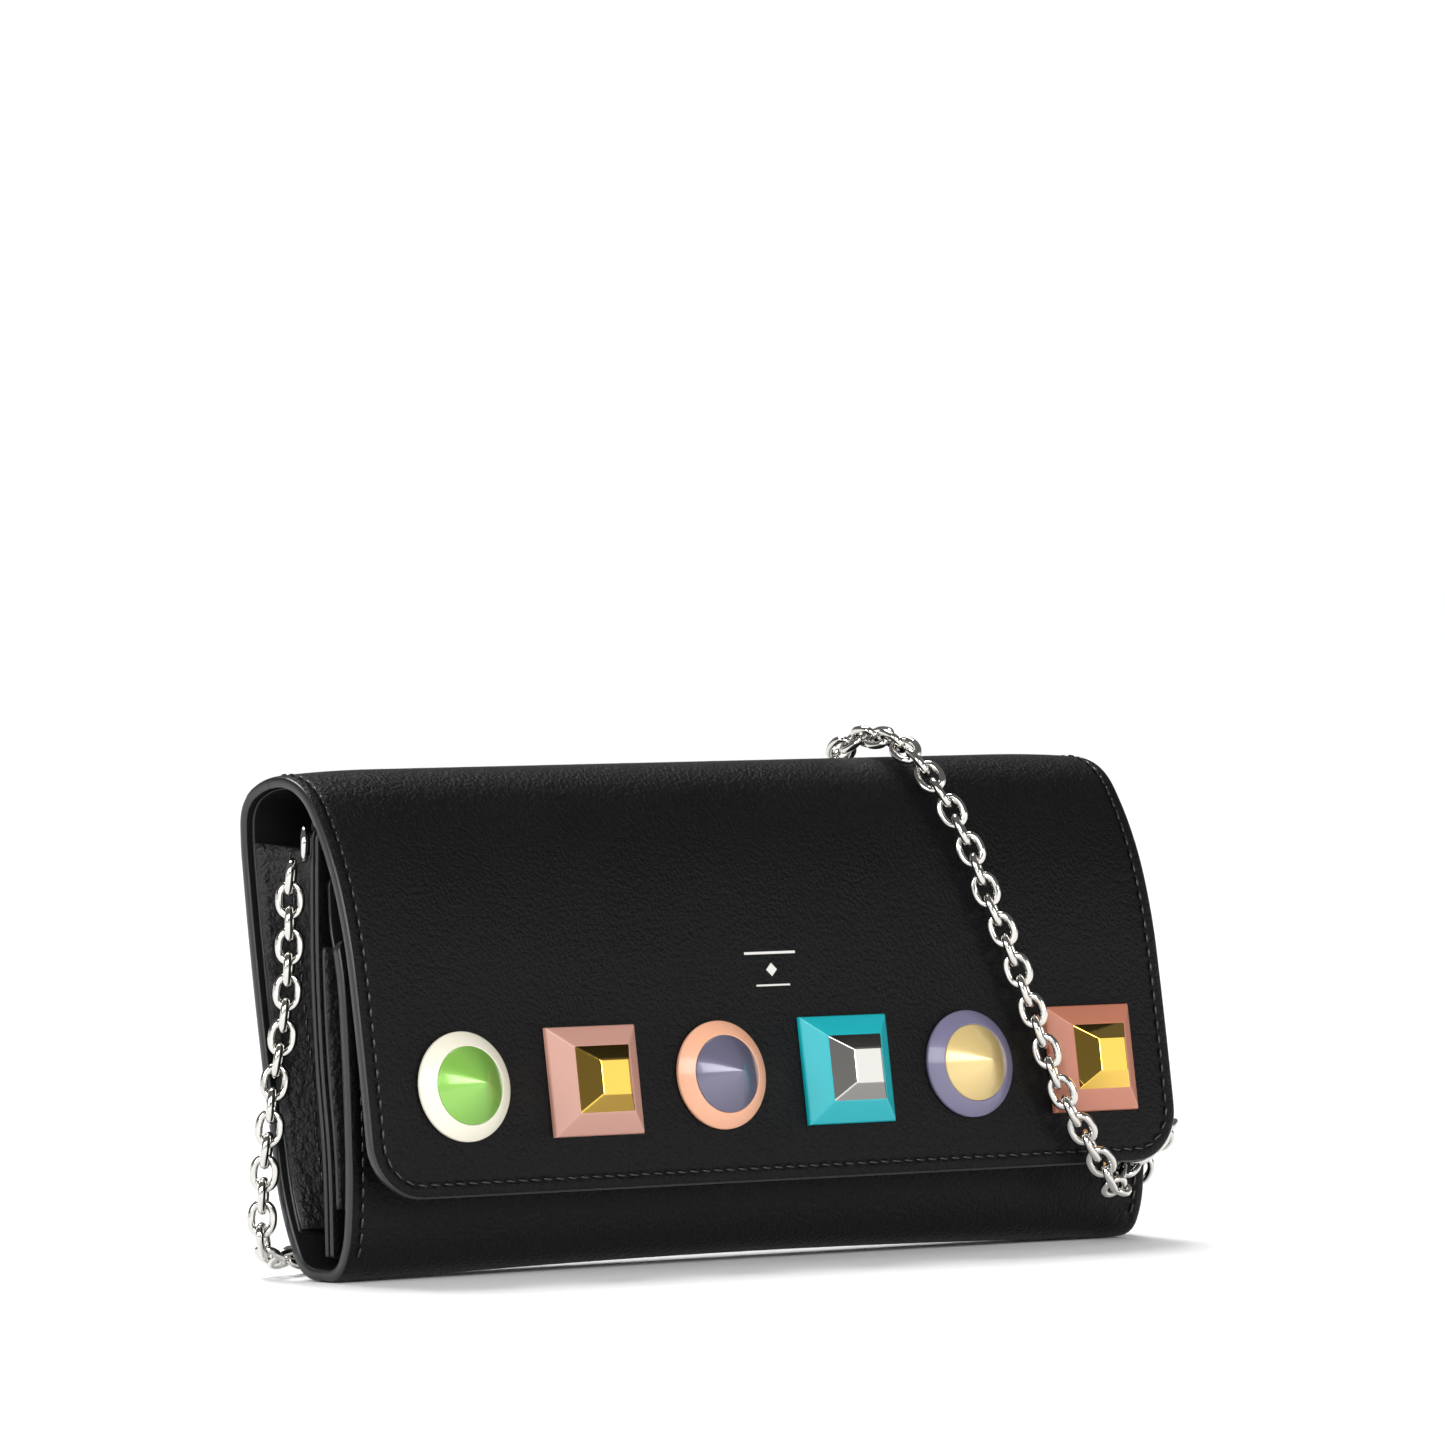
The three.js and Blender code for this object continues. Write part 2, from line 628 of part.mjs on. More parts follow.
// ---- chain ----
// Routes of the chain's middle, in order from the left ring round to the right ring.
const LEFT_RUN = [
  [-97.8, 7.0, 78.3], [-97.8, 7.6, 74], [-97.8, 7.6, 67], [-97.9, 7.9, 59.4],
  [-98.2, 8.4, 51.4], [-98.7, 9.4, 44], [-99.6, 10.3, 36.8], [-100.6, 10.3, 29.5],
  [-101.0, 11.4, 22], [-101.0, 12.2, 14], [-100.8, 12.6, 7.6], [-97.6, 14.4, 3.8],
  [-91, 16.6, 3.2], [-82, 19.4, 3.2], [-72, 20.6, 3.2], [-62, 20.2, 3.2],
];
const BACK_RUN = [
  [63, 20.2, 3.4], [69, 20.8, 6], [68.5, 21.6, 12], [62, 22.0, 22], [54, 23.6, 36],
  [46, 25.8, 50], [39, 28.0, 64], [33, 29.5, 77], [30.6, 29.9, 84.8],
];
const OVER_RUN = [
  [30.4, 29.8, 86.0], [30.2, 28.8, 90.4], [30.8, 26.2, 94.6], [32.2, 22.4, 97.8],
  [34.4, 17.6, 99.7],
];
const FRONT_RUN = [
  [35.2, 16.0, 99.9], [38.5, 11.6, 99.9], [42.2, 7.8, 99.6], [45, 3.6, 97.9], [46.6, -0.8, 94.9],
  [47.9, -5.7, 90.0], [49.5, -9.7, 83.7], [51, -12.9, 76.8], [52.4, -15.5, 69.4],
  [54.7, -17.5, 62.3], [57, -19.0, 55.1], [59.3, -20.4, 47.8], [61.4, -21.8, 40.5],
  [63.4, -23.6, 33], [66.6, -25.0, 26.3], [71.1, -25.0, 19.9], [75.6, -24.1, 14.6],
  [79.8, -21.2, 11.5], [84.2, -17.6, 12.0], [87.6, -14.8, 14.8], [90, -14.0, 16.4],
];
const LOWER_RUN = [
  [92.2, -14.6, 17.6], [96.0, -15.2, 20.2], [99.3, -14.0, 21.6], [100.2, -10.4, 20.0],
  [99.9, -6.6, 16.0], [99.9, -2.2, 10.6], [100.6, 3.0, 6.0], [101.2, 8.6, 3.5], [101.4, 13.8, 3.2],
];
const UPPER_RUN = [
  [101.2, 18.6, 5.4], [101.2, 18.6, 11], [101.0, 16.2, 24], [100.6, 13.4, 36], [99.6, 10.8, 48],
  [98.6, 8.8, 60], [97.9, 7.6, 71], [97.8, 7.0, 78.3],
];

// A tube along a route, with a step about every two diameters.
const CHAIN_RADIUS = CHAIN_DIAMETER / 2;
const CHAIN_STEP = 2 * CHAIN_DIAMETER;
const CHAIN_MIN_STEPS = 5;
function tube(points) {
  const vectors = points.map((point) => new THREE.Vector3(...point));
  const route = new THREE.CatmullRomCurve3(vectors, false, "centripetal");
  const section = shapeOf(Array.from({ length: CHAIN_SIDES }, (_, i) => {
    const angle = ((i + 0.5) / CHAIN_SIDES) * 2 * Math.PI;
    return [Math.cos(angle) * CHAIN_RADIUS, Math.sin(angle) * CHAIN_RADIUS];
  }));
  const steps = Math.max(CHAIN_MIN_STEPS, Math.round(route.getLength() / CHAIN_STEP));
  return new THREE.ExtrudeGeometry(section, { steps, extrudePath: route, bevelEnabled: false });
}
addMesh("chain_left_run", tube(LEFT_RUN), silver);
addMesh("chain_back_run", tube(BACK_RUN), silver);
addMesh("chain_over_run", tube(OVER_RUN), silver);
addMesh("chain_front_run", tube(FRONT_RUN), silver);
addMesh("chain_lower_run", tube(LOWER_RUN), silver);
addMesh("chain_upper_run", tube(UPPER_RUN), silver);

// The spare chain is folded to and fro in a hank that lies behind the spine.
const HANK_RUN = 105;
const HANK_DEPTH = 24;
const HANK_HEIGHT = 12;
const HANK_Y = 28;
const HANK_FLOOR_GAP = 0.05;
const HANK_SEGMENTS = 8;
function hank() {
  const half = (HANK_RUN - CHAIN_DIAMETER) / 2;
  const radius = HANK_DEPTH / 2;
  const shape = new THREE.Shape();
  shape.moveTo(-half, -radius);
  shape.lineTo(half, -radius);
  shape.absarc(half, 0, radius, -Math.PI / 2, Math.PI / 2, false);
  shape.absarc(-half, 0, radius, Math.PI / 2, 1.5 * Math.PI, false);
  const geometry = new THREE.ExtrudeGeometry(shape, {
    depth: HANK_HEIGHT, bevelEnabled: false, curveSegments: HANK_SEGMENTS,
  });
  geometry.translate(0, HANK_Y, HANK_FLOOR_GAP);
  return geometry;
}
addMesh("chain_hank", hank(), silver);

export default wallet;
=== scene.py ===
"""Chain wallet in black leather, standing on its spine, with six studs on its flap and a link chain.

Metres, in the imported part's frame: +X right seen from the front, -Y front, +Z up.
Shapes are worked out in millimetres and scaled when a mesh is made.
"""

import itertools
import math

import bmesh
import bpy
import numpy as np
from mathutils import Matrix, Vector


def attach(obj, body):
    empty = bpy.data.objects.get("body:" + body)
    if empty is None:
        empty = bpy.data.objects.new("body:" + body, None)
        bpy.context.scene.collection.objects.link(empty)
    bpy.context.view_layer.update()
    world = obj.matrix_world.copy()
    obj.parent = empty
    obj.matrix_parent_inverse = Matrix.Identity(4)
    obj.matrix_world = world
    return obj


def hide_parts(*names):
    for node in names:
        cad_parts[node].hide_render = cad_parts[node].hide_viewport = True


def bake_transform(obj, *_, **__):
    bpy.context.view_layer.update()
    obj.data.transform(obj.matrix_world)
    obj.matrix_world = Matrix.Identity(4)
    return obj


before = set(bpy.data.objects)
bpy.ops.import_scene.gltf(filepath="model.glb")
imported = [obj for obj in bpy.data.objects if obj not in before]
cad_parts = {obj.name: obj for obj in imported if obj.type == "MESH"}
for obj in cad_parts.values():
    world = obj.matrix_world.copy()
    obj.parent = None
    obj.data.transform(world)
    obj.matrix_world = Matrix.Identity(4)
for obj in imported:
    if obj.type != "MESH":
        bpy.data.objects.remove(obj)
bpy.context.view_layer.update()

MM = 0.001

# ---- camera ----
CAMERA_AT = (-1.283, -1.692, 0.164)
CAMERA_AZIMUTH = math.radians(37.15)
CAMERA_PITCH = math.radians(1.62)
camera_data = bpy.data.cameras.new("camera")
camera_data.sensor_width = 36
camera_data.lens = 272.9
camera_data.clip_end = 50
camera = bpy.data.objects.new("camera", camera_data)
camera.location = CAMERA_AT
camera.rotation_euler = (math.pi / 2 - CAMERA_PITCH, 0, -CAMERA_AZIMUTH)
bpy.context.scene.collection.objects.link(camera)
bpy.context.scene.camera = camera


# ---- materials ----
def new_material(name):
    material = bpy.data.materials.new(name)
    material.use_nodes = True
    return material, material.node_tree, material.node_tree.nodes["Principled BSDF"]


def linear(hex_colour):
    """A colour given as it looks on a screen, turned into the shader's linear values."""
    parts = [int(hex_colour[i : i + 2], 16) / 255 for i in (0, 2, 4)]
    return [c / 12.92 if c <= 0.04045 else ((c + 0.055) / 1.055) ** 2.4 for c in parts] + [1]


def plain(name, colour, roughness, metallic=0.0, coat=0.0, coat_roughness=0.05):
    material, _, shader = new_material(name)
    shader.inputs["Base Color"].default_value = linear(colour)
    shader.inputs["Roughness"].default_value = roughness
    shader.inputs["Metallic"].default_value = metallic
    shader.inputs["Coat Weight"].default_value = coat
    shader.inputs["Coat Roughness"].default_value = coat_roughness
    return material


def grained(name, colour, light, roughness, scale, strength, distance, specular=0.25):
    """Leather: pebble grain from cells and a finer noise, with roughness and tone that vary with a broad
    noise.
    """
    material, tree, shader = new_material(name)
    nodes, link = tree.nodes, tree.links.new
    where = nodes.new("ShaderNodeUVMap")
    where.uv_map = "flat"
    cells = nodes.new("ShaderNodeTexVoronoi")
    cells.feature = "SMOOTH_F1"
    cells.inputs["Scale"].default_value = scale
    cells.inputs["Smoothness"].default_value = 0.6
    fine = nodes.new("ShaderNodeTexNoise")
    fine.inputs["Scale"].default_value = scale * 2.3
    fine.inputs["Detail"].default_value = 4
    broad = nodes.new("ShaderNodeTexNoise")
    broad.inputs["Scale"].default_value = scale * 0.035
    broad.inputs["Detail"].default_value = 3
    height = nodes.new("ShaderNodeMath")
    height.operation = "ADD"
    bump = nodes.new("ShaderNodeBump")
    bump.inputs["Strength"].default_value = strength
    bump.inputs["Distance"].default_value = distance
    rough = nodes.new("ShaderNodeMapRange")
    rough.inputs["To Min"].default_value = roughness - 0.07
    rough.inputs["To Max"].default_value = roughness + 0.09
    tint = nodes.new("ShaderNodeMix")
    tint.data_type = "RGBA"
    tint.inputs["A"].default_value = linear(colour)
    tint.inputs["B"].default_value = linear(light)
    for texture in (cells, fine, broad):
        link(where.outputs["UV"], texture.inputs["Vector"])
    link(cells.outputs["Distance"], height.inputs[0])
    link(fine.outputs["Fac"], height.inputs[1])
    link(height.outputs["Value"], bump.inputs["Height"])
    link(broad.outputs["Fac"], rough.inputs["Value"])
    link(broad.outputs["Fac"], tint.inputs["Factor"])
    link(tint.outputs["Result"], shader.inputs["Base Color"])
    link(rough.outputs["Result"], shader.inputs["Roughness"])
    link(bump.outputs["Normal"], shader.inputs["Normal"])
    shader.inputs["Specular IOR Level"].default_value = specular
    return material


LEATHER = grained("leather", "09090a", "0f0f10", 0.34, 13.0, 0.85, 0.00022, 0.1)
GUSSET_LEATHER = grained("gusset leather", "0e0e10", "161619", 0.36, 8.0, 0.8, 0.0003, 0.3)
INNER_LEATHER = grained("lining leather", "0e0e10", "131315", 0.55, 10.0, 0.3, 0.0002)
EDGE_PAINT = plain("edge paint", "17181a", 0.34, coat=0.12, coat_roughness=0.25)
THREAD = plain("thread", "1a1a1c", 0.26)
SILVER = plain("silver", "cfcdc8", 0.1, metallic=1)
GOLD = plain("gold", "e9c05a", 0.06, metallic=1)
TAPE = plain("zip tape", "0e0e0f", 0.85)
FLOOR = plain("floor", "fbfbfc", 0.9)
ENAMELS = {
    "ring_ivory": "ddd8c6", "ring_peach": "dfa585", "ring_lavender": "6d6984",
    "cone_green": "7fb54b", "cone_purple_grey": "66637a", "cone_cream": "d9bf80",
    "frame_pink": "b78879", "frame_teal": "00a0a9", "frame_terracotta": "b36f56",
}


def enamel(slot_name):
    cone = slot_name.startswith("cone")
    return plain(slot_name.replace("_", " "), ENAMELS[slot_name], 0.3 if cone else 0.38,
                 metallic=0.25 if cone else 0.0, coat=0.7 if cone else 0.35, coat_roughness=0.06)


# ---- outlines: the section of the shell, seen from the right end ----
BACK_STRETCHES = [
    (2, 0), (7.85, 60), (20, 17), (57.5, 5), (7, 8), (9.2, 60), (10.5, 30),
    (13.6, 52), (20, 18), (16, 9), (31, 2), (11, 8),
]
FRONT_STRETCHES = [(2, 0), (6.7, -62), (7, -23), (14, -7), (30, -4), (11.5, -14)]
SPINE_CENTRE = (-0.65, 0)
FRONT_BEND = 122.45


class Outline:
    """A line in the Y-Z plane that starts at the middle of the spine; side is where its inside is."""

    def __init__(self, heading, stretches, side):
        y, z, place = *SPINE_CENTRE, 0.0
        rows = [(y, z, heading, place)]
        for length, turn in stretches:
            count = max(1, round(length / 0.25))
            for _ in range(count):
                angle = math.radians(heading + turn / count / 2)
                y += length / count * math.cos(angle)
                z += length / count * math.sin(angle)
                heading += turn / count
                place += length / count
                rows.append((y, z, heading, place))
        self.rows = np.array(rows)
        self.side = side
        self.end = place

    def at(self, place, depth):
        """Points (y, z) at places along the line, moved inwards by depth."""
        y, z, heading = (np.interp(place, self.rows[:, 3], self.rows[:, k]) for k in range(3))
        angle = np.radians(heading)
        return y - self.side * depth * np.sin(angle), z + self.side * depth * np.cos(angle)


BACK = Outline(0, BACK_STRETCHES, 1)
FRONT = Outline(180, FRONT_STRETCHES, -1)
FRONT_LINER = Outline(180, FRONT_STRETCHES + [(4, 16), (8.5, 0)], -1)


# ---- mesh helpers ----
def make_object(name, points, faces, materials, marks=None, uvs=None, smooth=True):
    """A mesh from points in millimetres. marks gives each face's material, uvs each point's place."""
    mesh = bpy.data.meshes.new(name)
    mesh.from_pydata((np.asarray(points, float) * MM).tolist(), [], [list(map(int, f)) for f in faces])
    for material in materials:
        mesh.materials.append(material)
    if marks is not None:
        mesh.polygons.foreach_set("material_index", np.asarray(marks, int))
    if uvs is not None:
        layer = mesh.uv_layers.new(name="flat")
        corners = np.empty(len(mesh.loops), int)
        mesh.loops.foreach_get("vertex_index", corners)
        layer.data.foreach_set("uv", (np.asarray(uvs, float)[corners] / 10).ravel())
    mesh.polygons.foreach_set("use_smooth", np.full(len(mesh.polygons), smooth))
    mesh.validate()
    thing = bpy.data.objects.new(name, mesh)
    bpy.context.scene.collection.objects.link(thing)
    return thing


def join_parts(parts):
    """Several (points, faces) as one."""
    points, faces, first = [], [], 0
    for p, f in parts:
        points.append(np.asarray(p, float))
        faces += [[int(i) + first for i in face] for face in f]
        first += len(p)
    return np.vstack(points), faces


def grid_faces(rows, columns, first=0, flip=False):
    i = np.arange(rows - 1)[:, None] * columns + np.arange(columns - 1)[None, :] + first
    quads = np.stack([i, i + 1, i + columns + 1, i + columns], -1).reshape(-1, 4)
    return quads[:, ::-1] if flip else quads


def place_piece(thing, slot_name, *nodes):
    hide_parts(*nodes)
    return thing


# ---- leather sheets ----
BOTTOM_LIFT = 1.3
ARCH_HALF = 90
ARCH_HEIGHT = 16
EDGE_INSET = 0.4
EDGE_ROUND = [(0.22, 0.07), (0.36, 0.28)]
FOOT_REACH = 30.0
BOW_REACH = 22
MARGIN = 11.0
FINE = np.array([0.0, 0.5, 1.1, 1.6, 2.0, 2.3, 2.65, 3.0, 3.4, 4.0, 5.0, 6.5, 8.5, 11.0])
STITCH_INSET = 2.65
STITCH_PITCH = 2.9


def settle(points):
    """The leather's own unevenness: the spine arches up a little between its ends."""
    x, y, z = points.T
    arch = BOTTOM_LIFT * np.clip(1 - (x / ARCH_HALF) ** 2, 0, 1) ** 1.2
    lift = arch * np.clip(1 - z / ARCH_HEIGHT, 0, 1) ** 1.5
    return np.stack([x, y, z + lift], 1)


class Sheet:
    """A sheet of leather that follows an outline between two places, with round corners at its end.

    bow draws its sides inwards, away from the spine. foot narrows it at the spine. warp moves its
    points along the outline, and relief gives the dents of its outer face.
    """

    def __init__(self, line, start, end, half_width, thickness, depth=0.0, corner=0.0,
                 free_start=False, relief=None, bow=0.0, warp=None, foot=0.0):
        self.line, self.start, self.end = line, start, end
        self.half, self.thickness, self.depth = half_width, thickness, depth
        self.corner, self.free_start, self.relief, self.bow = corner, free_start, relief, bow
        self.warp, self.foot = warp, foot
        self.first = start + (EDGE_INSET if free_start else 0)
        self.last = end - EDGE_INSET

    def point(self, x, s, depth):
        """Points of the sheet at (x, s), at a depth below its outer face."""
        x, s = np.asarray(x, float), np.asarray(s, float)
        inward = self.depth + depth
        if self.bow:
            edge = np.clip((np.abs(x) - self.half + BOW_REACH) / BOW_REACH, 0, 1) ** 2
            inward = inward + self.bow * edge * np.clip(s / FOOT_REACH, 0, 1) ** 2
        if self.warp:
            s = self.warp(x, s)
        y, z = self.line.at(s, inward)
        return settle(np.stack([x, y, z], 1))

    def inset_edge(self, inset, steps_s):
        """Half width at each place for an outline moved in by inset."""
        radius = self.corner - inset
        last = self.end - inset
        half = np.full(len(steps_s), self.half - inset)
        half -= self.foot * np.clip(1 - steps_s / FOOT_REACH, 0, 1) ** 2
        if self.corner:
            over = np.clip(steps_s - (last - radius), 0, radius)
            half -= radius - np.sqrt(np.maximum(radius**2 - over**2, 0))
        return half

    def edge_distance(self, x, s):
        """How far (x, s) is inside the sheet's sides, corners and end."""
        cx, cs = self.half - self.corner, self.end - self.corner
        side, end = self.half - np.abs(x), self.end - s
        near = np.minimum(side, end) if self.corner else side
        if self.free_start:
            near = np.minimum(near, s - self.start)
        if self.corner:
            beyond = (np.abs(x) > cx) & (s > cs)
            near = np.where(beyond, self.corner - np.hypot(np.abs(x) - cx, s - cs), near)
        return near

    def steps_along(self, step_s):
        """Places along the sheet, close together near its free ends."""
        if self.corner or step_s < 2:
            middle = np.arange(self.first, self.last - MARGIN, step_s)
            if self.free_start:
                middle = np.concatenate([self.first + FINE, middle[middle > self.first + MARGIN + 1]])
            s = np.concatenate([middle, (self.last - FINE)[::-1]])
        else:
            s = np.linspace(self.first, self.last, max(4, int((self.last - self.first) / step_s)))
        s = np.unique(np.round(s, 4))
        if self.corner:
            turn = np.sin(np.linspace(0, np.pi / 2, 15))
            s = np.unique(np.concatenate([s, self.last - (self.corner - EDGE_INSET) * (1 - turn)]))
        return s

    def steps_across(self, step_x):
        """Columns from -1 to 1 across the sheet, close together near its sides."""
        width = 2 * self.half
        count = int(2 * (self.half - MARGIN) / step_x)
        middle = np.linspace(MARGIN, width - MARGIN, count)[1:-1]
        across = np.concatenate([FINE, middle, (width - FINE)[::-1]]) / self.half - 1
        across[0], across[-1] = -1, 1
        return across

    def edge_loop(self, rows, columns):
        """The grid's points around its free edges, in order."""
        loop = [j * columns for j in range(rows)]
        loop += [(rows - 1) * columns + i for i in range(1, columns)]
        loop += [j * columns + columns - 1 for j in range(rows - 2, -1, -1)]
        if self.free_start:
            loop += list(range(columns - 2, 0, -1))
        return np.array(loop)

    def outward(self, x, s):
        """The way out of the sheet, in (x, s), at points of its edge loop."""
        half = self.inset_edge(EDGE_INSET, s)
        on_end = np.isclose(s, self.last)
        on_start = np.isclose(s, self.first) & self.free_start
        on_side = np.isclose(np.abs(x), half) & ~on_end
        nx = np.where(on_side, np.sign(x), 0.0)
        ns = np.where(on_end, 1.0, np.where(on_start & ~on_side, -1.0, 0.0))
        if not self.corner:
            tip = on_end & (np.abs(np.abs(x) - half) < 1e-6)
            return np.where(tip, np.sign(x), nx), ns
        cx, cs = self.half - self.corner, self.end - self.corner
        bend = (np.abs(x) > cx - 1e-6) & (s > cs)
        rx, rs = np.abs(x) - cx, s - cs
        size = np.maximum(np.hypot(rx, rs), 1e-9)
        return np.where(bend, np.sign(x) * rx / size, nx), np.where(bend, rs / size, ns)

    def build(self, name, materials, step_s=1.0, step_x=2.2, rim=EDGE_INSET):
        """The sheet as an object: outer face, inner face and a rounded edge that stands out by rim."""
        s = self.steps_along(step_s)
        x = self.steps_across(step_x)[None, :] * self.inset_edge(EDGE_INSET, s)[:, None]
        rows, columns = x.shape
        fx, fs = x.ravel(), np.broadcast_to(s[:, None], x.shape).ravel()
        dent = self.relief(fx, fs, self.edge_distance(fx, fs)) if self.relief else np.zeros(len(fx))
        loop = self.edge_loop(rows, columns)
        lx, ls = fx[loop], fs[loop]
        nx, ns = self.outward(lx, ls)
        t = self.thickness
        rings = EDGE_ROUND + [(EDGE_INSET, t * 0.5)] + [(out, t - deep) for out, deep in EDGE_ROUND[::-1]]
        parts = [self.point(fx, fs, dent), self.point(fx, fs, t)]
        uv = [np.stack([fx, fs], 1)] * 2
        for out, depth in rings:
            out = out * rim / EDGE_INSET
            parts.append(self.point(lx + nx * out, ls + ns * out, depth + dent[loop] * (depth < t / 2)))
            uv.append(np.stack([lx + nx * (out + depth), ls + ns * (out + depth)], 1))
        total = rows * columns
        ids = [loop] + [2 * total + k * len(loop) + np.arange(len(loop)) for k in range(len(rings))]
        ids += [loop + total]
        faces = [grid_faces(rows, columns), grid_faces(rows, columns, total, flip=True)]
        for a, b in zip(ids[:-1], ids[1:]):
            if self.free_start:
                a, b = np.append(a, a[0]), np.append(b, b[0])
            faces.append(np.stack([a[:-1], a[1:], b[1:], b[:-1]], 1))
        marks = [0] * (len(faces[0])) + [1] * len(faces[1]) + [2] * sum(len(f) for f in faces[2:])
        faces = np.vstack(faces)
        if self.line.side < 0:
            faces = faces[:, ::-1]
        return make_object(name, np.vstack(parts), faces, materials, marks, np.vstack(uv))

    def stitch_path(self, start, inset=STITCH_INSET, across_end=True):
        """(x, s, dx, ds) of each stitch, down one side, round the corners and up the other."""
        radius = max(self.corner - inset, 0.01)
        half, last = self.half - inset, self.end - inset
        cx, cs = half - radius, last - radius
        line = [(-half, s) for s in np.arange(start, cs, 0.2)]
        if across_end:
            turn = np.linspace(0, np.pi / 2, 30)
            line += [(-cx - radius * math.cos(a), cs + radius * math.sin(a)) for a in turn]
            line += [(x, last) for x in np.arange(-cx, cx, 0.2)]
            line += [(cx + radius * math.sin(a), cs + radius * math.cos(a)) for a in turn]
            line += [(half, s) for s in np.arange(cs, start, -0.2)]
            return [along(np.array(line), STITCH_PITCH)]
        line = np.array(line)
        return [along(line, STITCH_PITCH), along(line * [-1, 1], STITCH_PITCH)]


def along(line, pitch):
    """Evenly spaced points on a line, with the direction at each: rows of (point, direction)."""
    line = np.asarray(line, float)
    gaps = np.linalg.norm(np.diff(line, axis=0), axis=1)
    line = line[np.append(True, gaps > 1e-9)]
    run = np.append(0, np.cumsum(np.linalg.norm(np.diff(line, axis=0), axis=1)))
    count = max(2, round(run[-1] / pitch))
    at = (np.arange(count) + 0.5) * run[-1] / count

    def sample(t):
        return np.stack([np.interp(t, run, line[:, k]) for k in range(line.shape[1])], 1)

    ahead = sample(np.minimum(at + 0.3, run[-1])) - sample(np.maximum(at - 0.3, 0))
    ahead /= np.maximum(np.linalg.norm(ahead, axis=1), 1e-9)[:, None]
    return np.hstack([sample(at), ahead])


def bead(sides=6, rings=5):
    """A small unit ellipsoid, as (points, faces)."""
    points = [(0, 0, 1)]
    for i in range(1, rings):
        a = math.pi * i / rings
        points += [(math.sin(a) * math.cos(b), math.sin(a) * math.sin(b), math.cos(a))
                   for b in (2 * math.pi * k / sides for k in range(sides))]
    points.append((0, 0, -1))
    last = len(points) - 1
    faces = [[0, 1 + k, 1 + (k + 1) % sides] for k in range(sides)]
    for i in range(rings - 2):
        base = 1 + i * sides
        faces += [[base + k, base + sides + k, base + sides + (k + 1) % sides, base + (k + 1) % sides]
                  for k in range(sides)]
    base = 1 + (rings - 2) * sides
    faces += [[base + (k + 1) % sides, base + k, last] for k in range(sides)]
    return np.array(points), faces


BEAD = bead()
STITCH_SIZE = (1.12, 0.30, 0.26)


def stitch_parts(centres, directions, normals):
    """Thread beads: each lies along its direction and stands out a little along its normal."""
    parts = []
    for centre, direction, normal in zip(centres, directions, normals):
        direction = direction / np.linalg.norm(direction)
        side = np.cross(direction, normal)
        side /= np.linalg.norm(side)
        up = np.cross(side, direction)
        slant = direction + 0.12 * side
        slant /= np.linalg.norm(slant)
        axes = np.stack([slant * STITCH_SIZE[0], side * STITCH_SIZE[1], up * STITCH_SIZE[2]])
        parts.append((centre + BEAD[0][:, [2, 0, 1]] @ axes, BEAD[1]))
    return parts


def sheet_stitches(sheet, name, rows, depth=-0.02):
    """A mesh of stitches for rows of (x, s, dx, ds) on a sheet's outer face."""
    parts = []
    for row in rows:
        x, s, dx, ds = row.T
        here = sheet.point(x, s, depth)
        ahead = sheet.point(x + dx * 0.5, s + ds * 0.5, depth) - here
        normals = sheet.point(x, s, depth - 1.0) - here
        parts += stitch_parts(here, ahead, normals)
    points, faces = join_parts(parts)
    return make_object(name, points, faces, [THREAD])


GROOVE_DEPTH, GROOVE_WIDTH = 0.30, 0.55
ROLL_DEPTH, ROLL_WIDTH = 0.22, 0.8


def stitched_relief(from_place, inset=STITCH_INSET):
    """A stitch line pressed into the leather, and a soft roll outside it."""
    def relief(_x, s, near):
        groove = GROOVE_DEPTH * np.exp(-(((near - inset) / GROOVE_WIDTH) ** 2))
        roll = ROLL_DEPTH * np.exp(-((near / ROLL_WIDTH) ** 2))
        return np.where(s > from_place, groove, 0) + roll
    return relief


LEATHERS = [LEATHER, INNER_LEATHER, EDGE_PAINT]
SEAM = 110.0
THICK = 2.25
FLAP_HALF, BODY_HALF = 97.5, 96.5
FLAP_CORNER, FRONT_CORNER = 11, 2.5
FLAP_LENGTH = BACK.end - 0.15
SIDE_BOW = 0.9

flap_sheet = Sheet(BACK, SEAM, FLAP_LENGTH, FLAP_HALF, THICK, corner=FLAP_CORNER,
                   relief=stitched_relief(0), bow=SIDE_BOW)
back_sheet = Sheet(BACK, 0, SEAM + EDGE_INSET, FLAP_HALF, THICK, relief=stitched_relief(0), bow=SIDE_BOW,
                   foot=FLAP_HALF - BODY_HALF)
front_sheet = Sheet(FRONT, 0, FRONT.end, BODY_HALF, THICK, corner=FRONT_CORNER, relief=stitched_relief(9))


def yz(line, place, depth=0.0):
    y, z = line.at(place, depth)
    return (0, float(y) * MM, float(z) * MM)


def bend_back(thing):
    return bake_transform(thing, "body", "flap_bend", yz(BACK, 88), yz(BACK, 108))


def bend_flap(thing):
    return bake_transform(thing, "flap_bend", "flap", yz(BACK, 113), yz(BACK, 134))


def bend_leaf(thing):
    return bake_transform(thing, "body", "front_leaf", yz(FRONT, 4), yz(FRONT, 15))


def bend_leaf_all(thing):
    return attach(thing, "front_leaf")


def stay(thing):
    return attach(thing, "body")


def leather_piece(sheet, name, move, *nodes, slot_name="black_leather", materials=LEATHERS, **sizes):
    thing = sheet.build(name, materials, **sizes)
    place_piece(thing, slot_name, *nodes)
    return move(thing)


def thread_piece(sheet, name, move, rows):
    thing = sheet_stitches(sheet, name, rows)
    return move(thing)


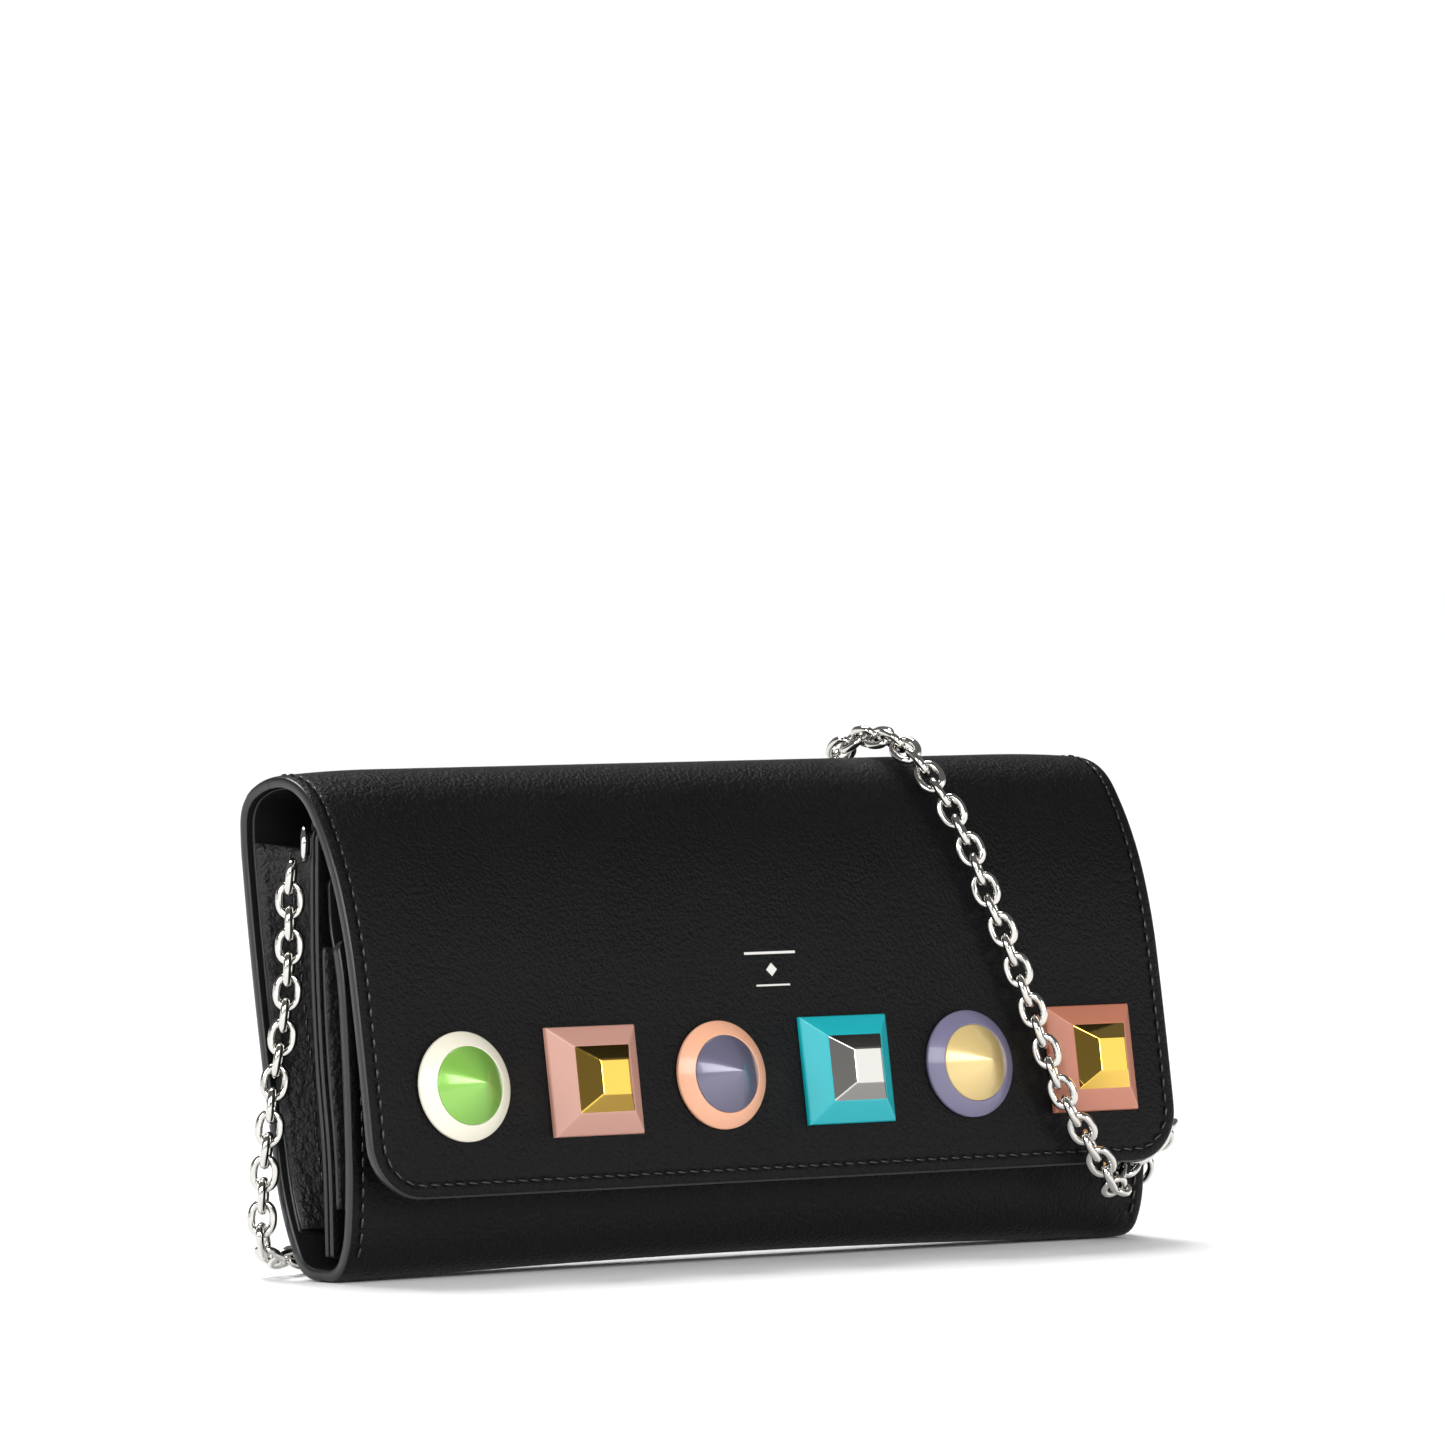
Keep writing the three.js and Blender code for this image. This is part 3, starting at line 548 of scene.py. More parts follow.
leather_piece(flap_sheet, "flap_leather", bend_flap, "flap_panel", "flap_bend")
leather_piece(back_sheet, "back_leather", bend_back, "back_panel", "bottom_spine")
leather_piece(front_sheet, "front_leather", bend_leaf, "front_panel")
thread_piece(flap_sheet, "flap_stitches", bend_flap, flap_sheet.stitch_path(SEAM + 0.2))
thread_piece(back_sheet, "back_stitches", bend_back, back_sheet.stitch_path(12, across_end=False))
thread_piece(front_sheet, "front_stitches", bend_leaf, front_sheet.stitch_path(10))

# ---- linings, card pockets ----
LININGS = [INNER_LEATHER, INNER_LEATHER, EDGE_PAINT]
LINING_HALF = 96.0
LINING_THICK, FRONT_LINING_THICK = 0.35, 0.45
flap_lining = Sheet(BACK, SEAM, BACK.end - 1.6, LINING_HALF, LINING_THICK, THICK, corner=10, bow=SIDE_BOW)
back_lining = Sheet(BACK, 14, SEAM + EDGE_INSET, LINING_HALF, LINING_THICK, THICK, free_start=True,
                    bow=SIDE_BOW)
front_lining = Sheet(FRONT_LINER, 15, FRONT_LINER.end, LINING_HALF, FRONT_LINING_THICK, THICK, corner=3,
                     free_start=True)
for sheet, name, move, covered in (
    (flap_lining, "flap_lining_sheet", bend_flap, ("flap_lining", "flap_bend_lining")),
    (back_lining, "back_lining_sheet", bend_back, ("back_lining",)),
    (front_lining, "front_lining_sheet", bend_leaf_all, ("front_lining",)),
):
    leather_piece(sheet, name, move, *covered, slot_name="black_lining", materials=LININGS, step_x=6.0)

CARD_HALF, CARD_THICK, CARD_CORNER = 79, 0.6, 4
CARD_STEP = 0.9
COARSE = {"step_s": 2.4, "step_x": 6.0, "rim": 0.2}


def card_pockets(side, line, bottom, tops, depth, move):
    """Card pockets one behind the other, the highest against the lining."""
    for i, top in enumerate(tops):
        pocket = Sheet(line, bottom, top, CARD_HALF, CARD_THICK, depth + CARD_STEP * i, corner=CARD_CORNER,
                       free_start=True)
        leather_piece(pocket, f"{side}_card_pocket_{i + 1}", move, f"{side}_card_slot_{i + 1}",
                      slot_name="black_lining", materials=LININGS, **COARSE)


card_pockets("back", BACK, 26, (84, 72, 60), 2.9, stay)
card_pockets("front", FRONT_LINER, 20, (64, 52), 2.95, bend_leaf_all)


# ---- middle pocket ----
def curve_through(points, per_span=12):
    """A centripetal Catmull-Rom curve through the points."""
    p = np.array(points, float)
    p = np.vstack([2 * p[0] - p[1], p, 2 * p[-1] - p[-2]])
    out = []
    for i in range(1, len(p) - 2):
        p0, p1, p2, p3 = p[i - 1 : i + 3]
        t1 = np.linalg.norm(p1 - p0) ** 0.5
        t2 = t1 + np.linalg.norm(p2 - p1) ** 0.5
        t3 = t2 + np.linalg.norm(p3 - p2) ** 0.5
        for t in np.linspace(t1, t2, per_span, endpoint=False):
            a1 = p0 * (t1 - t) / t1 + p1 * t / t1
            a2 = p1 * (t2 - t) / (t2 - t1) + p2 * (t - t1) / (t2 - t1)
            a3 = p2 * (t3 - t) / (t3 - t2) + p3 * (t - t2) / (t3 - t2)
            b1 = a1 * (t2 - t) / t2 + a2 * t / t2
            b2 = a2 * (t3 - t) / (t3 - t1) + a3 * (t - t1) / (t3 - t1)
            out.append(b1 * (t2 - t) / (t2 - t1) + b2 * (t - t1) / (t2 - t1))
    out.append(p[-2])
    return np.array(out)


class Line(Outline):
    """An outline given by its points (y, z)."""

    def __init__(self, points, side):
        ahead = np.gradient(points, axis=0)
        heading = np.degrees(np.arctan2(ahead[:, 1], ahead[:, 0]))
        place = np.append(0, np.cumsum(np.linalg.norm(np.diff(points, axis=0), axis=1)))
        self.rows = np.stack([points[:, 0], points[:, 1], heading, place], 1)
        self.side, self.end = side, place[-1]


DIVIDER_POINTS = [(0, -2.8, 4.5), (0, -1.9, 23), (0, 0.4, 40), (0, 1.9, 58), (0, 2.2, 72), (0, 2.1, 86)]
DIVIDER = curve_through(DIVIDER_POINTS)[:, 1:]
WALL_THICK, WALL_OUT = 1.0, 1.35
WALL_TOP_PLACE = 81.7
EAR_X, EAR_BLEND = 87, 1.5
ZIP_DROP, ZIP_DROP_REACH = 4.7, 30


def divider_y(z):
    return np.interp(z, DIVIDER[:, 1], DIVIDER[:, 0])


def dip(x, s):
    """The walls are lower along the zip than at their ends."""
    t = np.clip((EAR_X + EAR_BLEND - np.abs(x)) / (2 * EAR_BLEND), 0, 1)
    near_top = np.clip((s - WALL_TOP_PLACE + ZIP_DROP_REACH) / ZIP_DROP_REACH, 0, 1)
    return s - ZIP_DROP * t * t * (3 - 2 * t) * near_top


def wall_relief(_x, _s, near):
    """A soft roll along the wall's edges."""
    return 0.15 * np.exp(-((near / 0.5) ** 2))


for name, side in (("back", -1), ("front", 1)):
    line = Line(DIVIDER, side)
    wall = Sheet(line, 0, line.end - 0.1, BODY_HALF - 0.1, WALL_THICK, -WALL_OUT, corner=FRONT_CORNER,
                 free_start=True, warp=dip, relief=wall_relief)
    leather_piece(wall, f"divider_{name}_leather", stay, f"divider_{name}_wall", step_s=1.6, step_x=4.0)


# ---- gussets ----
def thick_grid(name, grid, thickness, materials):
    """A sheet about a grid of points, with closed, rounded edges."""
    rows, columns = grid.shape[:2]
    du, dv = np.gradient(grid, axis=0), np.gradient(grid, axis=1)
    normal = np.cross(du, dv)
    normal /= np.maximum(np.linalg.norm(normal, axis=2), 1e-9)[..., None]
    half = thickness / 2
    faces = [grid_faces(rows, columns), grid_faces(rows, columns, rows * columns, flip=True)]
    loop = [i for i in range(columns)]
    loop += [j * columns + columns - 1 for j in range(1, rows)]
    loop += [(rows - 1) * columns + i for i in range(columns - 2, -1, -1)]
    loop += [j * columns for j in range(rows - 2, 0, -1)]
    loop = np.array(loop)
    flat = grid.reshape(-1, 3)
    inner = np.clip(loop // columns, 1, rows - 2) * columns + np.clip(loop % columns, 1, columns - 2)
    out = flat[loop] - flat[inner]
    out /= np.maximum(np.linalg.norm(out, axis=1), 1e-9)[:, None]
    rim = flat[loop] + out * half * 0.7
    total = rows * columns
    ids = [loop, 2 * total + np.arange(len(loop)), loop + total]
    for a, b in zip(ids[:-1], ids[1:]):
        a, b = np.append(a, a[0]), np.append(b, b[0])
        faces.append(np.stack([b[:-1], b[1:], a[1:], a[:-1]], 1))
    marks = [0] * (2 * len(faces[0])) + [1] * (2 * len(loop))
    points = np.vstack([(grid + normal * half).reshape(-1, 3), (grid - normal * half).reshape(-1, 3), rim])
    run_u = np.append(0, np.cumsum(np.linalg.norm(np.diff(grid[:, 0], axis=0), axis=1)))
    run_v = np.append(0, np.cumsum(np.linalg.norm(np.diff(grid[0], axis=0), axis=1)))
    uv = np.stack(np.meshgrid(run_v, run_u), -1).reshape(-1, 2)
    uvs = np.vstack([uv, uv, uv[loop]])
    return make_object(name, points, np.vstack(faces), materials, marks, uvs)


def face_y(line, depth, z, first=6.0):
    place = np.arange(first, min(line.end, 92), 0.5)
    y, height = line.at(place, depth)
    return np.interp(z, height, y)


FOLDS = [GUSSET_LEATHER, EDGE_PAINT]
GUSSET_EDGE = 95.4
FOLD_SOFTNESS = 2.2
GUSSET_RISE = 6.0
WALL_GAP, LINING_GAP = 1.9, 0.5
BACK_INNER, FRONT_INNER = THICK + LINING_THICK, THICK + FRONT_LINING_THICK


def gusset_grid(side, fold, bottom, top, near_y, far_y, rise=0.0):
    """A folded sheet between two faces: its middle is drawn in to x = fold. Its top rises across it."""
    v = np.linspace(0, 1, 29)[None, :]
    z = bottom + (top + rise * v**0.7 - bottom) * np.linspace(0, 1, 44)[:, None]
    y = near_y(z) + (far_y(z) - near_y(z)) * v
    pull = (1 - np.abs(2 * v - 1) ** FOLD_SOFTNESS)
    sag = 0.5 * np.sin(z / 9.0 + 3 * v) + 0.35 * np.sin(z / 4.1 - 2 * v)
    x = GUSSET_EDGE - (GUSSET_EDGE - fold) * pull - sag * pull
    grid = np.stack([side * x, y, z + 0 * v], -1)
    return grid[:, ::-1] if side > 0 else grid


def gusset_thread(name, grid, column, out):
    """A row of stitches up one column of a gusset's grid."""
    line = grid[:, column]
    rows = along(line, STITCH_PITCH)
    parts = stitch_parts(rows[:, :3] + out * 0.5, rows[:, 3:], np.tile(out, (len(rows), 1)))
    points, faces = join_parts(parts)
    return make_object(name, points, faces, [THREAD])


def back_gusset(name, side):
    grid = gusset_grid(side, 85.5, 9.5, 76, lambda z: divider_y(z) + WALL_GAP,
                       lambda z: face_y(BACK, BACK_INNER, z) - LINING_GAP, GUSSET_RISE)
    thing = thick_grid(f"gusset_back_{name}_fold", grid, 0.9, FOLDS)
    stay(place_piece(thing, "black_leather", f"gusset_back_{name}"))
    out = np.array([side * 0.55, -0.83, 0.0])
    stay(gusset_thread(f"gusset_stitches_{name}", grid, 23 if side < 0 else 5, out))


def front_gusset(name, side):
    grid = gusset_grid(side, 88.5, 14, 63, lambda z: face_y(FRONT_LINER, FRONT_INNER, z) + LINING_GAP,
                       lambda z: divider_y(z) - WALL_GAP)
    thing = thick_grid(f"gusset_front_{name}_fold", grid, 0.8, FOLDS)
    place_piece(thing, "black_leather", f"gusset_front_{name}")
    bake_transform(thing)


for name, side in (("left", -1), ("right", 1)):
    back_gusset(name, side)
    front_gusset(name, side)


# ---- metal and small parts ----
def beveled_box(size, centre, bevel=0.2, taper=1.0):
    """A box in millimetres with rounded edges; taper narrows its top."""
    shape = bmesh.new()
    bmesh.ops.create_cube(shape, size=1)
    for v in shape.verts:
        k = taper if v.co.z > 0 else 1
        v.co = Vector((v.co.x * size[0] * k, v.co.y * size[1] * k, v.co.z * size[2]))
    bmesh.ops.bevel(shape, geom=shape.edges[:], offset=bevel, segments=3, profile=0.5, affect="EDGES")
    points = np.array([v.co for v in shape.verts]) + np.array(centre)
    faces = [[v.index for v in f.verts] for f in shape.faces]
    shape.free()
    return points, faces


def lathe(profile, segments=48):
    """A round piece about Z from a profile of (radius, height) that starts and ends on the axis."""
    points, faces = [(0, 0, profile[0][1])], []
    rings = profile[1:-1]
    turns = np.linspace(0, 2 * np.pi, segments, endpoint=False)
    for r, h in rings:
        points += [(r * math.cos(a), r * math.sin(a), h) for a in turns]
    points.append((0, 0, profile[-1][1]))
    last = len(points) - 1
    for k in range(segments):
        m = (k + 1) % segments
        faces.append([0, 1 + m, 1 + k])
        for i in range(len(rings) - 1):
            a, b = 1 + i * segments, 1 + (i + 1) * segments
            faces.append([a + k, a + m, b + m, b + k])
        a = 1 + (len(rings) - 1) * segments
        faces.append([a + k, a + m, last])
    return np.array(points), faces


def turned_to(part, origin, x_axis, y_axis, z_axis):
    points, faces = part
    return np.array(origin) + points @ np.array([x_axis, y_axis, z_axis]), faces


def metal_piece(name, parts, material, slot_name, body, *nodes, smooth=True):
    points, faces = join_parts(parts)
    thing = make_object(name, points, faces, [material], smooth=smooth)
    if smooth:
        thing.data.set_sharp_from_angle(angle=math.radians(38))
    place_piece(thing, slot_name, *nodes)
    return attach(thing, body)


STUD_PLACE = 184.65
STUD_PITCH = 30.4
stud_y, stud_z = (float(v) for v in BACK.at(STUD_PLACE, 0))
stud_heading = math.radians(float(np.interp(STUD_PLACE, BACK.rows[:, 3], BACK.rows[:, 2])))
STUD_OUT = np.array([0, math.sin(stud_heading), -math.cos(stud_heading)])
STUD_UP = np.array([0, -math.cos(stud_heading), -math.sin(stud_heading)])
RIM, RING_R, CONE_R, CONE_FOOT, TIP_H = 0.9, 10.5, 7.6, 2.6, 7.8
FRAME_SIDE, FRAME_TOP, FRAME_H = 21, 12.9, 4.2
RING_PROFILE = [
    (0, 0.1), (RING_R - 0.1, 0.1), (RING_R, 0.25), (RING_R, RIM - 0.15), (RING_R - 0.12, RIM + 0.02),
    (CONE_R + 0.1, CONE_FOOT - 0.05), (CONE_R - 0.05, CONE_FOOT - 0.1), (CONE_R - 0.1, CONE_FOOT - 0.4),
    (0, CONE_FOOT - 0.4),
]
CONE_PROFILE = [
    (0, 0.4), (CONE_R - 0.15, 0.4), (CONE_R - 0.12, CONE_FOOT - 0.02), (CONE_R - 0.22, CONE_FOOT + 0.12),
    (0.35, TIP_H - 0.22), (0.12, TIP_H - 0.06), (0, TIP_H - 0.03),
]
SCREW_PROFILE = [
    (0, -3.9), (1.3, -3.9), (1.6, -3.7), (3.2, -3.6), (3.4, -3.4), (3.4, -2.9), (1.2, -2.9), (1.2, 0),
    (0, 0),
]
ROUND_STUDS = [("ring_ivory", "cone_green"), ("ring_peach", "cone_purple_grey"),
               ("ring_lavender", "cone_cream")]
SQUARE_STUDS = [("frame_pink", GOLD, "gold_metal"), ("frame_teal", SILVER, "silver_metal"),
                ("frame_terracotta", GOLD, "gold_metal")]


def silver_piece(name, parts, body, *nodes, smooth=True):
    return metal_piece(name, parts, SILVER, "silver_metal", body, *nodes, smooth=smooth)


def on_flap(part, x, y=stud_y, z=stud_z):
    return turned_to(part, (x, y, z), (1, 0, 0), STUD_UP, STUD_OUT)


def frustum(bottom_side, top_side, low, high, rim=0.0, bevel=0.3):
    """A square frustum with rounded edges, on a short upright rim where rim is given."""
    shape = bmesh.new()
    levels = [(bottom_side, low)] + ([(bottom_side, low + rim)] if rim else []) + [(top_side, high)]
    loops = []
    for side_length, h in levels:
        r = side_length / 2
        loops.append([shape.verts.new(c) for c in ((-r, -r, h), (r, -r, h), (r, r, h), (-r, r, h))])
    shape.faces.new(loops[0][::-1])
    shape.faces.new(loops[-1])
    for a, b in zip(loops[:-1], loops[1:]):
        for k in range(4):
            shape.faces.new([a[k], a[(k + 1) % 4], b[(k + 1) % 4], b[k]])
    sharp = [e for e in shape.edges if min(v.co.z for v in e.verts) > low + 0.01 or not rim]
    sharp = [e for e in sharp if max(v.co.z for v in e.verts) > low + 0.01]
    bmesh.ops.bevel(shape, geom=sharp, offset=bevel, segments=3, profile=0.5, affect="EDGES")
    points = np.array([v.co for v in shape.verts])
    shape.verts.index_update()
    faces = [[v.index for v in f.verts] for f in shape.faces]
    shape.free()
    return points, faces


def round_stud(n, x, ring_slot, cone_slot):
    ring, cone = lathe(RING_PROFILE, 96), lathe(CONE_PROFILE, 96)
    metal_piece(f"stud_{n}_rim", [on_flap(ring, x)], enamel(ring_slot), ring_slot, "flap",
                f"stud_{n}_ring")
    metal_piece(f"stud_{n}_point", [on_flap(cone, x)], enamel(cone_slot), cone_slot, "flap",
                f"stud_{n}_cone")


def square_stud(n, x, frame_slot, metal, metal_slot):
    surround = frustum(FRAME_SIDE, FRAME_TOP, 0.1, FRAME_H, RIM)
    pyramid = frustum(12.8, 6.7, 4.12, TIP_H, bevel=0.22)
    metal_piece(f"stud_{n}_surround", [on_flap(surround, x)], enamel(frame_slot), frame_slot, "flap",
                f"stud_{n}_frame", smooth=False)
    metal_piece(f"stud_{n}_pyramid", [on_flap(pyramid, x)], metal, metal_slot, "flap", f"stud_{n}_tip",
                smooth=False)


for i in range(6):
    n = i + 1
    x = (i - 2.5) * STUD_PITCH
    if i % 2 == 0:
        round_stud(n, x, *ROUND_STUDS[i // 2])
    else:
        square_stud(n, x, *SQUARE_STUDS[i // 2])
    silver_piece(f"stud_{n}_fixing", [on_flap(lathe(SCREW_PROFILE, 32), x)], "flap", f"stud_{n}_screw")

# ---- snap ----
SNAP_PLACE, SNAP_DEPTH = 194.5, 2.9
SOCKET_PROFILE = [
    (0, -2.0), (2.2, -2.0), (2.5, -1.2), (3.4, -1.2), (3.7, -2.1), (5.6, -2.1), (6.0, -1.7), (6.0, 0.2),
    (0, 0.2),
]
POST_PROFILE = [
    (0, 2.0), (1.6, 2.0), (2.0, 1.7), (2.0, 0.9), (5.6, 0.8), (6.0, 0.5), (6.0, -0.2), (0, -0.2),
]
snap_y, snap_z = (float(v) for v in BACK.at(SNAP_PLACE, SNAP_DEPTH))
post_y = float(face_y(FRONT, 0, snap_z)) - 0.3
silver_piece("snap_socket_half", [on_flap(lathe(SOCKET_PROFILE), 0, snap_y, snap_z)], "flap",
             "snap_socket")
post_points, post_faces = turned_to(lathe(POST_PROFILE), (0, post_y, snap_z), (1, 0, 0), (0, 0, 1),
                                    (0, -1, 0))
silver_piece("snap_post_half", [(post_points, [f[::-1] for f in post_faces])], "front_leaf", "snap_post")

# ---- zip: tapes, teeth, stops, slider, pull ----
ZIP_Y, TEETH_Z = 2.1, 81.6
TAPE_SIZE, TAPE_OUT, TAPE_Z = (168, 0.5, 7), 2.0, 78.8
TOOTH_SIZE, TOOTH_COUNT, TOOTH_PITCH, FIRST_TOOTH_X = (1.0, 1.75, 1.1), 114, 1.407, -79.5
STOP_SIZE, STOP_X = (2, 2.3, 1.5), 81.3
SLIDER_X = 74
PULL_Y, PULL_THICK = 5.75, 0.85
PULL_BARS = [
    (3.9, 11.5, 0, 74.4, 0.3), (2.6, 3.6, 0, 81.5, 0.3), (0.75, 2.6, -1.2, 83.7, 0.2),
    (0.75, 2.6, 1.2, 83.7, 0.2), (3.1, 0.7, 0, 85.1, 0.2),
]


def zip_chain():
    """The tapes, the row of teeth and the stops at its ends."""
    for name, side in (("back", 1), ("front", -1)):
        tape = beveled_box(TAPE_SIZE, (0, ZIP_Y + side * TAPE_OUT, TAPE_Z), 0.1)
        metal_piece(f"zip_cloth_{name}", [tape], TAPE, "zip_tape", "body", f"zip_tape_{name}")
    teeth = []
    for k in range(TOOTH_COUNT):
        side = 1 if k % 2 else -1
        at = (FIRST_TOOTH_X + k * TOOTH_PITCH, ZIP_Y + side * 0.3, TEETH_Z + 0.62)
        teeth.append(beveled_box(TOOTH_SIZE, at, 0.15))
    silver_piece("zip_teeth_row", teeth, "body", "zip_teeth", smooth=False)
    for name, side in (("left", -1), ("right", 1)):
        stop = beveled_box(STOP_SIZE, (side * STOP_X, ZIP_Y, TEETH_Z + 0.65), 0.3)
        silver_piece(f"zip_end_{name}", [stop], "body", f"zip_stop_{name}", smooth=False)


def zip_slider():
    plate = beveled_box((9, 4.5, 1.3), (SLIDER_X, ZIP_Y, 83.95), 0.4, 0.86)
    bridge = beveled_box((5.6, 1.5, 1.2), (SLIDER_X, ZIP_Y + 0.6, 84.9), 0.4)
    lug = beveled_box((2.0, 3.4, 0.7), (SLIDER_X, ZIP_Y + 1.9, 85.1), 0.25)
    silver_piece("zip_runner", [plate, bridge, lug], "zip_slider", "zip_slider", smooth=False)


def zip_pull():
    """A flat tab, its neck and the eye around the slider's lug, from bars (width, height, x, z, bevel)."""
    bars = []
    for width, height, x, z, bevel in PULL_BARS:
        bars.append(beveled_box((width, PULL_THICK, height), (SLIDER_X + x, PULL_Y, z), bevel))
    silver_piece("zip_puller", bars, "zip_pull", "zip_pull", smooth=False)


zip_chain()
zip_slider()
zip_pull()


# ---- anchors: a wire ring at each end, its leather tab and the tab's rivet ----
def torus(radius, wire, centre, normal, around=48, sides=12):
    """A wire ring about a normal."""
    normal = np.array(normal, float) / np.linalg.norm(normal)
    first = np.array([0.0, 0.0, 1.0])
    second = np.cross(normal, first)
    points, faces = [], []
    for i in range(around):
        a = 2 * math.pi * i / around
        out = first * math.cos(a) + second * math.sin(a)
        for k in range(sides):
            b = 2 * math.pi * k / sides
            from_axis = out * (radius + wire * math.cos(b))
            points.append(np.array(centre) + from_axis + normal * wire * math.sin(b))
    for i in range(around):
        for k in range(sides):
            j, m = (i + 1) % around, (k + 1) % sides
            faces.append([i * sides + k, i * sides + m, j * sides + m, j * sides + k])
    return np.array(points), faces


RING_X, RING_Y, RING_Z = 96.6, 4.6, 82.6
RING_RADIUS, RING_WIRE = 3.1, 0.62
STRAP_SIZE, STRAP_X, STRAP_Y = (10.0, 0.9, 7.8), 88.9, 6.0
KEEPER_SIZE, KEEPER_X, KEEPER_Y = (2.4, 2.2, 4.6), 94.6, 6.6
RIVET_X = 89.3
RIVET_PROFILE = [
    (0, 3.9), (0.9, 3.9), (0.9, 6.4), (2, 6.5), (1.9, 6.9), (1.4, 7.4), (0.6, 7.62), (0, 7.65),
]


def anchor(name, side):
    wire_ring = torus(RING_RADIUS, RING_WIRE, (side * RING_X, RING_Y, RING_Z), (side * 0.8, 0.6, 0))
    silver_piece(f"anchor_loop_{name}", [wire_ring], "body", f"anchor_ring_{name}")
    strap = beveled_box(STRAP_SIZE, (side * STRAP_X, STRAP_Y, RING_Z), 0.25)
    keeper = beveled_box(KEEPER_SIZE, (side * KEEPER_X, KEEPER_Y, RING_Z), 0.7)
    metal_piece(f"anchor_strap_{name}", [strap, keeper], INNER_LEATHER, "black_leather", "body",
                f"anchor_tab_{name}")
    rivet = turned_to(lathe(RIVET_PROFILE, 24), (side * RIVET_X, 0, RING_Z), (1, 0, 0), (0, 0, -1),
                      (0, 1, 0))
    silver_piece(f"anchor_stud_{name}", [rivet], "body", f"anchor_rivet_{name}")


anchor("left", -1)
anchor("right", 1)

# ---- silver ornament on the flap: a line, a lozenge and a line, each (width, height, z, turn) ----
ORNAMENT = [(12.4, 0.55, 59.8, 0), (1.9, 1.9, 56.6, 45), (8.2, 0.4, 53.6, 0)]
ORNAMENT_THICK = 0.16


def flap_spot(z):
    """(y, z) on the flap's outer face at a height."""
    place = np.arange(FRONT_BEND, BACK.end, 0.25)
    y, height = BACK.at(place, -0.02)
    return float(np.interp(-z, -height, y)), z


def ornament():
    parts = []
    for width, height, z, turn in ORNAMENT:
        points, faces = beveled_box((width, height, ORNAMENT_THICK), (0, 0, 0), 0.04)
        a = math.radians(turn)
        spin = np.array([[math.cos(a), math.sin(a), 0], [-math.sin(a), math.cos(a), 0], [0, 0, 1]])
        parts.append(on_flap((points @ spin, faces), 0.0, *flap_spot(z)))
    silver_piece("flap_ornament", parts, "flap", smooth=False)


ornament()

# ---- chain ----
CHAIN_DIAMETER = 5.8
LINK_LENGTH, LINK_PITCH = 7.4, 4.3
LINK_SQUARENESS = 0.86
WIRE = 1.55
LEFT_RUN = [
    (-97.8, 7.0, 78.3), (-97.8, 7.6, 74), (-97.8, 7.6, 67), (-97.9, 7.9, 59.4),
    (-98.2, 8.4, 51.4), (-98.7, 9.4, 44), (-99.6, 10.3, 36.8), (-100.6, 10.3, 29.5),
    (-101.0, 11.4, 22), (-101.0, 12.2, 14), (-100.8, 12.6, 7.6), (-97.6, 14.4, 3.8),
    (-91, 16.6, 3.2), (-82, 19.4, 3.2), (-72, 20.6, 3.2), (-62, 20.2, 3.2),
]
BACK_RUN = [
    (59.3, 20.6, 5.0), (63.8, 20.3, 3.9), (68.6, 20.8, 6), (68.5, 21.6, 12), (65.5, 22.0, 22),
    (61, 23.6, 36), (56.5, 25.8, 50), (52.3, 27.9, 63.2),
]
OVER_RUN = [
    (52.3, 27.9, 63.2), (48.5, 29.5, 77), (46.8, 29.9, 85.4), (46.6, 28.8, 90.4), (46.4, 26.2, 94.6),
    (46.3, 22.4, 97.8), (46.3, 17.6, 99.7),
]
FRONT_RUN = [
    (46.3, 17.6, 99.7), (46.3, 14.6, 100.0), (46.3, 11.6, 99.9), (46.3, 7.8, 99.6), (46.5, 3.6, 97.9),
    (47.0, -0.8, 94.9), (47.9, -5.7, 90.0), (49.5, -9.7, 83.7), (51, -12.9, 76.8), (52.4, -15.5, 69.4),
    (54.7, -17.5, 62.3), (57, -19.0, 55.1), (59.3, -20.4, 47.8), (61.4, -21.8, 40.5),
    (63.4, -23.6, 33), (66.6, -25.0, 26.3), (71.1, -25.0, 19.9), (75.6, -24.1, 14.6),
    (79.8, -21.2, 11.5), (84.2, -17.6, 12.0), (87.6, -14.8, 14.8), (90, -14.0, 16.4),
]
LOWER_RUN = [
    (90, -14.0, 16.4), (92.4, -14.5, 17.7), (96.0, -15.2, 20.2), (99.3, -14.0, 21.6),
    (100.2, -10.4, 20.0), (99.9, -6.6, 16.0), (99.9, -2.2, 10.6), (100.6, 3.0, 6.0),
    (101.2, 8.6, 3.5), (101.4, 13.8, 3.2), (101.3, 17.0, 3.8), (101.2, 18.6, 6.2),
]
UPPER_RUN = [
    (101.2, 18.6, 6.2), (101.2, 18.6, 11), (101.0, 16.2, 24), (100.6, 13.4, 36), (99.6, 10.8, 48),
    (98.9, 8.8, 60), (98.7, 7.6, 71), (98.6, 7.0, 78.3),
]


